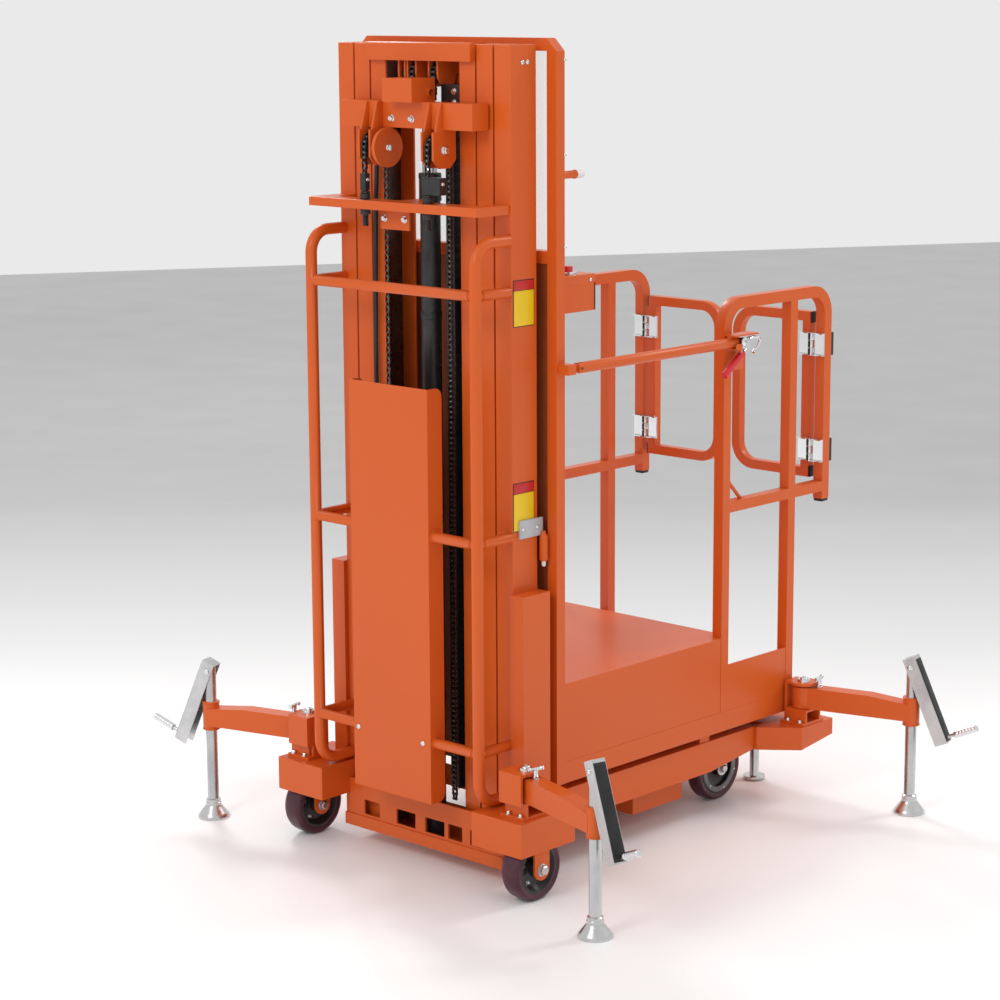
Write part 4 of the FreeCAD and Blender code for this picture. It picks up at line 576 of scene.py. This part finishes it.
def wheel_piece(side, sign, spec, name, grey_ring):
    """A wheel with a rounded tread, dished core, hub and axle nuts."""
    x, y, radius, width = spec
    body = name + "_" + side
    piece = Piece(name + "_" + side + "_dressed", body, TREAD, CORE, RING, ZINC)
    matrix = facing(at(x, sign * y, radius), (0, 1, 0))
    half = width / 2
    rim = radius - 18

    def on_disc(from_axis, degrees, out):
        angle = math.radians(degrees)
        return matrix @ (Vector((from_axis * math.cos(angle), from_axis * math.sin(angle), out)) * MM)

    profile = [(rim, -half + 3), (radius - 8, -half + 0.5), (radius - 3, -half + 3),
               (radius - 0.6, -half + 8), (radius, -half + 14), (radius, half - 14),
               (radius - 0.6, half - 8), (radius - 3, half - 3), (radius - 8, half - 0.5), (rim, half - 3)]
    piece.lathe(profile, matrix, 72, 0)
    for way in (-1, 1):
        core = [(rim, way * (half - 3)), (rim - 2, way * (half - 2)), (rim - 6, way * (half - 2.5)),
                (rim - 10, way * (half - 9)), (rim - 18, way * 9), (26, way * 8), (22, way * 10),
                (21, way * (half - 4)), (19, way * (half + 0.5)), (9, way * (half + 1.5)),
                (8.1, way * (half + 1.5))]
        piece.lathe(core, matrix, 48, 1)
        if grey_ring:
            piece.lathe([(rim - 4, way * (half - 2.2)), (rim - 5, way * (half - 0.6)),
                         (rim - 17, way * (half - 0.6)), (rim - 19, way * (half - 3.5))], matrix, 48, 2)
            for k in range(6):
                place = on_disc(rim - 11, 60 * k + 15, way * (half - 0.6))
                piece.bolt(place, (0, way, 0), 6.5, 3.5, 0, 3)
        else:
            for k in range(5):
                piece.bolt(on_disc(40, 72 * k + 18, way * 8.5), (0, way, 0), 7, 4, 5.5, 3)
    piece.lathe([(8.1, -half), (8.1, half)], matrix, 24, 1)
    piece.done([name + "_" + side])


def running_gear():
    """Wheels, axle bolts, swivel rings and the details of outriggers and jacks."""
    for side, sign in SIDES:
        wheel_piece(side, sign, REAR_WHEEL, "wheel_rear", False)
        wheel_piece(side, sign, FRONT_WHEEL, "wheel_front", True)
        x, y, radius, width = REAR_WHEEL
        axle = Piece("rear_axle_bolts_" + side, "chassis", ZINC)
        reach = width / 2 + CHEEK_REACH
        for way in (-1, 1):
            axle.bolt(at(x, sign * y + way * reach, radius), (0, way, 0), 22, 10, 16)
        axle.done()
        x, y, radius, width = FRONT_WHEEL
        reach = width / 2 + CHEEK_REACH
        swivel = Piece("caster_details_" + side, "caster_" + side, ZINC, CORE)
        for way in (-1, 1):
            swivel.bolt(at(x, sign * y + way * reach, radius), (0, way, 0), 19, 9, 14)
        swivel.lathe([(30, 188), (36, 189), (38, 192), (36, 195), (31, 196)],
                     Matrix.Translation(at(x - CASTER_TRAIL, sign * y, 0)), 40, 0)
        swivel.done()
    base = Piece("outrigger_bolts", "chassis", CHROME)
    for corner, sx, sy in CORNERS:
        x = sx * PIVOT[0]
        y = sy * PIVOT[1]
        for dx, dy in ((-39, -22), (39, -22), (39, 18), (-39, 18)):
            base.bolt(at(x + dx, y + sy * dy, BRACKET_BOLT_Z), (0, 0, 1), 10, 6, 7.5)
        base.dome(at(x, y, PIVOT_TOP), (0, 0, 1), 11, 5)
    base.done()
    for corner, sx, sy in CORNERS:
        jack_details(corner, sx, sy)


def jack_details(corner, sx, sy):
    """Knurled strip, pin heads and ribbed grip of a jack's crank; pins and seams on its arm."""
    pivot = Vector((sx * PIVOT[0], sy * PIVOT[1], 0))
    jack = Vector((sx * JACK[0], sy * JACK[1], 0))
    out = (jack - pivot).normalized()
    across = Vector((-out.y, out.x, 0))
    tilt = math.radians(CRANK_TILT)
    down = Vector((0, 0, -1)) * math.cos(tilt) + out * math.sin(tilt)
    face = out * math.cos(tilt) + Vector((0, 0, 1)) * math.sin(tilt)
    pin = jack + Vector((0, 0, CRANK_PIN_Z))
    piece = Piece("crank_details_" + corner, "jack_" + corner, CHROME, PLASTIC, ZINC)

    def on_crank(along, sideways, outwards):
        p = pin + down * along + across * sideways + face * outwards
        return at(p.x, p.y, p.z)

    turn = Matrix((across, down, face)).transposed().to_4x4()
    strip = Matrix.Translation(on_crank(100, 0, 23.6)) @ turn
    piece.block((-16.5, -116, -0.9), (16.5, 116, 0.9), 0.6, 1, matrix=strip)
    for k in range(37):
        rib = Matrix.Translation(on_crank(-8 + 6 * k, 0, 24.9)) @ turn
        piece.block((-15, -1.3, -0.5), (15, 1.3, 0.5), 0.4, 1, segments=1, matrix=rib)
    for way in (-1, 1):
        piece.dome(on_crank(0, way * 18, 0), across * way, 8, 4.5, 0)
    grip = on_crank(206, 0, 45)
    matrix = facing(grip, face)
    profile = [(0, 0), (8.0, 0), (9.6, 2)]
    for k in range(6):
        profile += [(9.9, 6 + 9 * k), (9.9, 11 + 9 * k), (9.3, 12.5 + 9 * k), (9.3, 13.5 + 9 * k)]
    profile += [(9.8, 62), (7.5, 65), (0, 65.5)]
    piece.lathe(profile, matrix, 28, 0)
    piece.lathe([(19.4, 33), (20.6, 34.5), (20.6, 41), (19.4, 42.5), (19.4, 49), (16.5, 51.5), (15.2, 52)],
                Matrix.Translation(at(jack.x, jack.y, 0)), 32, 2)
    piece.done()
    arm = Piece("arm_details_" + corner, "arm_" + corner, ORANGE, CHROME)
    for z in (245.5, 317.5):
        arm.lathe([(21.6, -2.2), (23.2, -1.2), (23.2, 1.2), (21.6, 2.2)],
                  Matrix.Translation(at(jack.x, jack.y, z)), 36, 0)
    lock = pivot + out * 44
    arm.lathe([(6.0, 0), (10, 0), (10, 2.5), (7.2, 4), (7.2, 9), (6.1, 10)],
              Matrix.Translation(at(lock.x, lock.y, 314)), 24, 1)
    for way in (-1, 1):
        tip = lock + across * way * 17
        arm.lathe([(0, -1), (5.6, -0.6), (6.4, 1.5), (5.6, 4.5), (0, 5.5)],
                  facing(at(tip.x, tip.y, 340), across * way), 20, 1)
    arm.done()


# Chains and carrier


def chain_path(sheave, radius, pitch, rear_end, front_end):
    """Evenly spaced pin points up to the sheave, over it and down, from the rear end."""
    x, z = sheave[0], sheave[2]
    rear = z - rear_end
    front = z - front_end
    arc = math.pi * radius
    total = rear + arc + front
    points = []
    for k in range(int(total / pitch) + 1):
        s = k * pitch
        if s < rear:
            points.append((x - radius, rear_end + s))
        elif s < rear + arc:
            angle = (s - rear) / radius
            points.append((x - radius * math.cos(angle), z + radius * math.sin(angle)))
        else:
            points.append((x + radius, z - (s - rear - arc)))
    return points


def link_plate(piece, start, end, y, thick):
    """A waisted link plate between two pins, made without bmesh operators for speed."""
    run = end - start
    length = run.length
    along = run.normalized()
    side = along.cross(Vector((0, 1, 0)))
    r = LINK_HEIGHT / 2 * MM
    waist = r * 0.70
    shape = [(-r * 0.8, -r * 0.55), (0, -r), (length / 2, -waist), (length, -r),
             (length + r * 0.8, -r * 0.55), (length + r * 0.8, r * 0.55), (length, r),
             (length / 2, waist), (0, r), (-r * 0.8, r * 0.55)]
    origin = start + Vector((0, (y - thick / 2) * MM, 0))
    across = Vector((0, thick * MM, 0))
    near = [piece.bm.verts.new(origin + along * a + side * b) for a, b in shape]
    far = [piece.bm.verts.new(vert.co + across) for vert in near]
    piece.bm.faces.new(near)
    piece.bm.faces.new(list(reversed(far)))
    for k, vert in enumerate(near):
        after = (k + 1) % len(near)
        piece.bm.faces.new((vert, far[k], far[after], near[after]))


def link_pin(piece, x, y, z, radius, half, slot):
    """A short six-sided pin or roller along Y."""
    rings = []
    for way in (-1, 1):
        ring = []
        for k in range(6):
            angle = math.pi * k / 3
            corner = at(x + radius * math.cos(angle), y + way * half, z + radius * math.sin(angle))
            ring.append(piece.bm.verts.new(corner))
        rings.append(ring)
    faces = [piece.bm.faces.new(rings[0]), piece.bm.faces.new(list(reversed(rings[1])))]
    for k in range(6):
        after = (k + 1) % 6
        faces.append(piece.bm.faces.new((rings[0][k], rings[1][k], rings[1][after], rings[0][after])))
    for face in faces:
        face.material_index = slot


def roller_chain(piece, sheave, radius, width, rear_end, front_end, side):
    """Outer and inner link plates in turn, with a roller and a pin at every joint."""
    points = chain_path(sheave, radius, CHAIN_PITCH, rear_end, front_end)
    middle = side * sheave[1]
    plate = 1.8
    for k, (low, high) in enumerate(zip(points, points[1:])):
        a = at(low[0], middle, low[1])
        b = at(high[0], middle, high[1])
        inset = 1.2 if k % 2 else 1.2 + plate + 0.2
        offset = width / 2 - inset - plate / 2
        for way in (-1, 1):
            link_plate(piece, a, b, way * offset, plate)
    for x, z in points:
        link_pin(piece, x, middle, z, 3.6, width / 2 - 5.2, 1)
        link_pin(piece, x, middle, z, 1.8, width / 2 - 0.3, 1)


def chains():
    """Chains over the lift sheaves and the head sheaves."""
    lift = Piece("lift_chain_links", "middle_mast", CHAIN, ROLLER)
    head = Piece("head_chain_links", "inner_mast", CHAIN, ROLLER)
    for _, side in SIDES:
        roller_chain(lift, LIFT_SHEAVE, LIFT_CHAIN_R, LIFT_CHAIN_WIDTH,
                     LIFT_REAR_END, LIFT_FRONT_END, side)
        roller_chain(head, HEAD_SHEAVE, HEAD_CHAIN_R, HEAD_CHAIN_WIDTH,
                     HEAD_REAR_END, HEAD_FRONT_END, side)
    lift.done(["lift_chains"])
    head.done(["head_chains"])


def cable_carrier():
    """Ribbed plastic cable chain with its clamp block at the top."""
    piece = Piece("cable_carrier_links", "inner_mast", PLASTIC, BLACK, CHROME)
    y0, y1 = CARRIER_Y
    z = CARRIER_Z[0]
    while z + CARRIER_LINK <= CARRIER_Z[1]:
        for low, high in ((y0, y0 + 5), (y1 - 5, y1)):
            piece.block((CARRIER_X - 15, low, z + 1), (CARRIER_X + 15, high, z + CARRIER_LINK + 3), 1.6)
        for x in (CARRIER_X - 15, CARRIER_X + 11):
            piece.block((x, y0 + 4, z + 6), (x + 4, y1 - 4, z + 18), 1.2)
        z += CARRIER_LINK
    piece.block((CARRIER_X - 10, y0 + 6, CARRIER_Z[0] + 6), (CARRIER_X + 9, y1 - 6, CARRIER_Z[1]), 3)
    piece.block((-492, -170, 1893), (-458, -56, 1951), 2, 1)
    for z in (1908, 1935):
        piece.bolt(at(-492, -100, z), (-1, 0, 0), 10, 5, 8, 2)
    piece.done(["cable_carrier"])


# Mast details


def label(piece, x0, x1, z0, z1, y):
    """A blank warning plate: a dark edge around a red band over a yellow field."""
    piece.block((x0, y - 0.8, z0), (x1, y, z1), 0.4, 0)
    band = z1 - 2 - (z1 - z0) * 0.20
    piece.block((x0 + 2, y - 1.3, band), (x1 - 2, y - 0.7, z1 - 2), 0.2, 1)
    piece.block((x0 + 2, y - 1.3, z0 + 2), (x1 - 2, y - 0.7, band - 1.5), 0.2, 2)


def column_details():
    """Blank plates, button heads, and a grey plate with its orange grip on the right column."""
    plates = Piece("blank_warning_plates", "chassis", LABEL_EDGE, LABEL_RED, YELLOW)
    for x0, x1, z0, z1 in WARNING_PLATES:
        label(plates, x0, x1, z0, z1, -COLUMN_SIDE)
    plates.done()
    column = Piece("column_details", "chassis", CHROME, GREY, ORANGE, WHITE, BLACK)
    for x in (-458, -441):
        for side in (-1, 1):
            column.dome(at(x, side * COLUMN_SIDE, 2005), (0, side, 0), 6, 3.5)
    column.block((-480, -299, 869), (-398, -COLUMN_SIDE, 914), 2, 1)
    column.lathe([(0, 0), (9, 1), (11, 4), (11, 62), (8, 66), (5, 70), (5, 75), (0, 76)],
                 Matrix.Translation(at(-401, -303, 805)), 28, 2)
    column.lathe([(0, -14), (4.5, -13), (5.5, -8), (5.5, 0), (0, 2)],
                 Matrix.Translation(at(-401, -303, 805)), 20, 3)
    for x in (-470, -420):
        column.dome(at(x, -299, 892), (0, -1, 0), 5, 3, 0)
    column.done()


def beam_details():
    """Bolts, fins, a collar and the hose of the middle section."""
    beam = Piece("middle_beam_details", "middle_mast", CHROME, BLACK, ORANGE)
    x, y, z = LIFT_SHEAVE
    for bolt_y in (56, -12):
        beam.bolt(at(BEAM_FACE, bolt_y, 1869), (-1, 0, 0), 13, 7, 9)
    for side in (-1, 1):
        beam.bolt(at(x, side * y - SHEAVE_PLATE_FACE, z), (0, -1, 0), 16, 8, 12)
    edge = BEAM_REAR - 0.2
    fin = [at(fin_x, 0, fin_z) for fin_x, fin_z in
           ((edge, 1909), (-566, 1909), (-592, 1818), (-592, 1800), (edge, 1800))]
    for side in (-1, 1):
        for low in (-21.3, 15.7):
            beam.outline(fin, Vector((0, (side * y + low) * MM, 0)), Vector((0, 5.6 * MM, 0)), 0.6, 2)
    beam.bolt(at(x, DISC_FACE, z), (0, -1, 0), 13, 6, 9)
    beam.lathe([(8.9, 0), (12, 0.5), (12, 3), (8.9, 3.4)],
               facing(at(-521, -50, 1932), (0, -1, 0)), 28, 2)
    hose = [at(-511, 139, 1845), at(-511, 147, 1765), at(-511, 153, 1665), at(-511, 157, 1500),
            at(-511, 160, 1342), at(-511, 160, 900), at(-511, 158, 320)]
    beam.tube(hose, 6, 14, 1)
    beam.done()


def cylinder_details():
    """Collars and the plug of the lift cylinder."""
    cylinder = Piece("cylinder_details", "chassis", BLACK, CHROME)
    matrix = Matrix.Translation(at(CYLINDER_X, 0, 0))
    cylinder.lathe([(25.2, 1668), (27.8, 1670), (27.8, 1676), (27.2, 1678)], matrix, 48)
    cylinder.lathe([(27.2, 1722), (28.0, 1724), (28.0, 1732), (26.5, 1736.5), (19, 1737.5), (18.3, 1736)],
                   matrix, 48)
    for z in (420, 900, 1380):
        cylinder.lathe([(25.1, z), (26.6, z + 2), (26.6, z + 18), (25.1, z + 20)], matrix, 48)
    cylinder.lathe([(0, 0), (9, 0), (9, 12), (7, 14), (7, 24), (0, 25)],
                   facing(at(-499, 0, 120), (-1, 0, 0)), 6, 1)
    cylinder.done()


def anchor_details():
    """Threads and pins of the chain anchors, and the bolts on the anchor bar's tab."""
    piece = Piece("anchor_details", "chassis", BLACK, CHROME)
    x = LIFT_SHEAVE[0] - LIFT_CHAIN_R
    thread = []
    for turn in range(10):
        thread += [(7.1, 1612 + 2.4 * turn), (7.9, 1613.2 + 2.4 * turn)]
    for side, near, far in ((-1, 98, 157), (1, 98, 116)):
        matrix = Matrix.Translation(at(x, side * LIFT_SHEAVE[1], 0))
        piece.lathe(thread, matrix, 20)
        piece.lathe([(7.2, 1688), (12, 1689), (12.6, 1690), (12.6, 1694), (7.4, 1695)], matrix, 6)
        piece.dome(at(x, side * near, 1722), (0, -side, 0), 5, 3, 1)
        piece.dome(at(x, side * far, 1722), (0, side, 0), 5, 3, 1)
    for y in (68.7, 0.2):
        piece.bolt(at(ANCHOR_TAB_X, y, 1629), (-1, 0, 0), 12, 6, 9, 1)
    piece.done()


def panel_details():
    """Button heads on the cover panel, and collars where its rails meet the panel and the guard."""
    piece = Piece("cover_panel_details", "chassis", CHROME, ORANGE)
    for y in (118.3, -109.3):
        piece.dome(at(PANEL_REAR, y, 354.7), (-1, 0, 0), 7, 4)
    for side in (-1, 1):
        for z in RAIL_Z[:2]:
            matrix = facing(at(GUARD_X, side * PANEL_HALF, z), (0, side, 0))
            piece.lathe([(RAIL_R + 0.1, 0), (16, 0.6), (16, 2.6), (RAIL_R + 0.1, 3.4)], matrix, 32, 1)
        for z in RAIL_Z:
            for direction, along in (((0, -side, 0), (0, -GUARD_R)), ((1, 0, 0), (GUARD_R, 0))):
                place = at(GUARD_X + along[0], side * (GUARD_Y + along[1]), z)
                collar = [(RAIL_R - 0.2, 0), (RAIL_R + 1.6, 0.4), (RAIL_R + 0.8, 2.2), (RAIL_R - 0.2, 4.5)]
                piece.lathe(collar, facing(place, direction), 32, 1)
    piece.done()


# Platform details


def platform_details():
    """Lamp, button heads on the portal, fittings of both guards, and the control box's lid."""
    lamp = Piece("goalpost_lamp", "platform", ORANGE, WHITE, CHROME)
    matrix = facing(at(-358, -POST_AXIS, 1738), (1, 0, 0))
    lamp.lathe([(0, 0), (12, 0), (12, 5), (9.5, 7), (9.5, 47), (11, 49), (11, 53), (0, 54)], matrix, 28)
    lamp.lathe([(10.4, 53), (10.4, 74), (8.5, 80), (4, 84), (0, 85)], matrix, 28, 1)
    for side in (-1, 1):
        for z in (1568, 1787, 2010):
            lamp.dome(at(-357, side * POST_FACE, z), (0, side, 0), 4.5, 2.5, 2)
    lamp.done()
    for side, sign in SIDES:
        guard_details(side, sign)
        latch_details(side, sign)
    box = Piece("control_box_details", "platform", ORANGE, CHROME, PLASTIC, ZINC)
    box.block((-378.2, -296.2, 1469.5), (-203.8, -188.8, 1491), 2.5, 0)
    box.block((-206.5, -296.4, 1402), (-203.6, -288, 1469), 0.6, 2)
    box.dome(at(-222, -296, 1476.6), (0, -1, 0), 4.5, 3, 1)
    box.block((-290, -286, 1490.5), (-254, -262, 1493), 1, 3)
    box.block((-286, -285, 1492), (-258, -279, 1499), 1.5, 1)
    box.lathe([(12.5, 1490.6), (14.5, 1491), (14.5, 1495), (12.5, 1496.5)],
              Matrix.Translation(at(-268, -265, 0)), 28, 1)
    box.done()


def guard_details(side, sign):
    """Cap, hinge flanges and pin blocks on one guard, and the same with its pads on the gate."""
    y = sign * POST_AXIS
    piece = Piece("guard_details_" + side, "platform", PLASTIC, CHROME, BLACK)
    gate = Piece("gate_details_" + side, "gate_" + side, PLASTIC, CHROME, BLACK)
    piece.block((END_POST_X - 14, y - 14, 795), (END_POST_X + 14, y + 14, 804), 2, 0)
    third = HINGE_HEIGHT / 3
    for z in HINGE_Z:
        low = z - HINGE_HEIGHT / 2
        for z0 in (low, low + HINGE_HEIGHT - 3):
            piece.block((GATE_REAR - 13, sign * 302, z0), (GATE_REAR - 2.5, sign * POST_FACE, z0 + 3), 1, 1)
            gate.block((GATE_REAR - 13, sign * 250, z0), (GATE_REAR - 2.5, sign * 282, z0 + 3), 1, 1)
        for z0 in (low, low + 2 * third):
            piece.block((GATE_REAR - 14.5, sign * 288, z0 + 0.4),
                        (GATE_REAR - 0.4, sign * 296, z0 + third - 0.4), 2, 2)
        gate.block((GATE_REAR - 14.5, sign * 288, z - third / 2 + 0.6),
                   (GATE_REAR - 0.4, sign * 296, z + third / 2 - 0.6), 2, 2)
    for z in (858, 1282):
        gate.block((GATE_REAR + 1, sign * 284, z), (GATE_REAR + 25, sign * 290, z + 30), 1.5, 0)
    piece.done()
    gate.done()


def latch_details(side, sign):
    """Bushing, hook and backing plate of a drop bar's latch; the pin's ends at the bar's hinge."""
    y = sign * BAR_Y
    piece = Piece("latch_details_" + side, "platform", PLASTIC, CHROME, ORANGE)
    outer = sign * (BAR_Y + BAR_R + 0.6)
    for start, end, material in ((0.0, 4.0, 0), (4.2, 9.0, 1)):
        piece.lathe([(0, start), (9.6, start), (10.5, start + 0.6), (10.5, end - 0.6), (9.6, end), (0, end)],
                    facing(at(LATCH_X, outer, LATCH_Z), (0, sign, 0)), 28, material)
    hook = [at(LATCH_X + ahead, y + sign * HOOK_OUT, LATCH_Z + rise)
            for ahead, rise in ((23, 5), (41, 8), (61, 6), (69, -3), (61, -17), (41, -32))]
    piece.tube(hook, 4.6, 12, 1)
    plate_x = MID_POST_X + TUBE / 2
    piece.block((plate_x, sign * 330.5, 1200), (plate_x + 50, sign * 333.8, 1268), 1, 2)
    piece.done()
    pins = Piece("bar_pin_details_" + side, "platform", BLACK)
    for way in (-1, 1):
        end = at(BAR_PIN_X, y + way * (BAR_R - 0.9), BAR_Z)
        pins.lathe([(0, 0), (3.9, 0), (3.9, 0.5), (0, 0.7)], facing(end, (0, way, 0)), 20)
    pins.done()


# Stage, lights and camera


def camera_axes():
    """Right, up and forward of the camera in the scene."""
    yaw = math.radians(CAMERA_YAW)
    pitch = math.radians(CAMERA_PITCH)
    roll = math.radians(CAMERA_ROLL)
    level = Vector((math.cos(yaw), math.sin(yaw), 0))
    right = Vector((math.sin(yaw), -math.cos(yaw), 0))
    forward = level * math.cos(pitch) + Vector((0, 0, -math.sin(pitch)))
    up = right.cross(forward)
    return (right * math.cos(roll) + up * math.sin(roll),
            up * math.cos(roll) - right * math.sin(roll), forward)


def add_camera():
    """The photo's camera."""
    data = bpy.data.cameras.new("camera")
    data.sensor_width = SENSOR
    data.lens = FOCAL_LENGTH
    data.clip_end = 200.0
    camera = bpy.data.objects.new("camera", data)
    SCENE.collection.objects.link(camera)
    right, up, forward = camera_axes()
    turn = Matrix((right, up, -forward)).transposed().to_4x4()
    camera.matrix_world = Matrix.Translation(Vector(CAMERA_PLACE)) @ turn
    SCENE.camera = camera


def floor_point(u, v):
    """Where the ray through a pixel of the picture meets the floor."""
    right, up, forward = camera_axes()
    scale = SENSOR / FOCAL_LENGTH / PICTURE
    middle = PICTURE / 2
    ray = forward + right * (u - middle) * scale - up * (v - middle) * scale
    start = Vector(CAMERA_PLACE)
    return start - ray * (start.z / ray.z)


def stage_mesh(name, corners, material, cuts=6):
    """A large subdivided sheet that is not part of the machine."""
    bm = bmesh.new()
    bm.faces.new([bm.verts.new(c) for c in corners])
    bmesh.ops.subdivide_edges(bm, edges=bm.edges, cuts=cuts, use_grid_fill=True)
    mesh = bpy.data.meshes.new(name)
    bm.to_mesh(mesh)
    bm.free()
    mesh.materials.append(material)
    obj = bpy.data.objects.new(name, mesh)
    SCENE.collection.objects.link(obj)


def add_stage():
    """A floor that ends far behind the machine, where the pale background begins."""
    left = floor_point(0, HORIZON_ROWS[0])
    right = floor_point(PICTURE, HORIZON_ROWS[1])
    along = (right - left).normalized()
    nearer = Vector((along.y, -along.x, 0)) * FLOOR_DEPTH
    far_left = left - along * FLOOR_SIDE
    far_right = right + along * FLOOR_SIDE
    stage_mesh("floor", [far_left + nearer, far_right + nearer, far_right, far_left], floor_painted_falloff())


def area_light(name, place, target, size, power):
    """A soft square light that looks at a point."""
    data = bpy.data.lights.new(name, "AREA")
    data.shape = "SQUARE"
    data.size = size
    data.energy = power
    light = bpy.data.objects.new(name, data)
    SCENE.collection.objects.link(light)
    direction = Vector(target) - Vector(place)
    turn = direction.to_track_quat("-Z", "Y").to_matrix().to_4x4()
    light.matrix_world = Matrix.Translation(Vector(place)) @ turn


def add_lights():
    """Soft studio light from the front, both sides and behind."""
    world = bpy.data.worlds.new("studio")
    world.use_nodes = True
    background = world.node_tree.nodes["Background"]
    background.inputs["Color"].default_value = (1.0, 1.0, 1.0, 1.0)
    background.inputs["Strength"].default_value = WORLD_STRENGTH
    SCENE.world = world
    for name, place, aim, size, power in LIGHTS:
        area_light(name, place, (0, 0, aim), size, power)
    SCENE.view_settings.view_transform = "Standard"
    SCENE.view_settings.look = "None"


dress_cad()
running_gear()
chains()
cable_carrier()
column_details()
beam_details()
cylinder_details()
anchor_details()
panel_details()
platform_details()
add_camera()
add_stage()
add_lights()
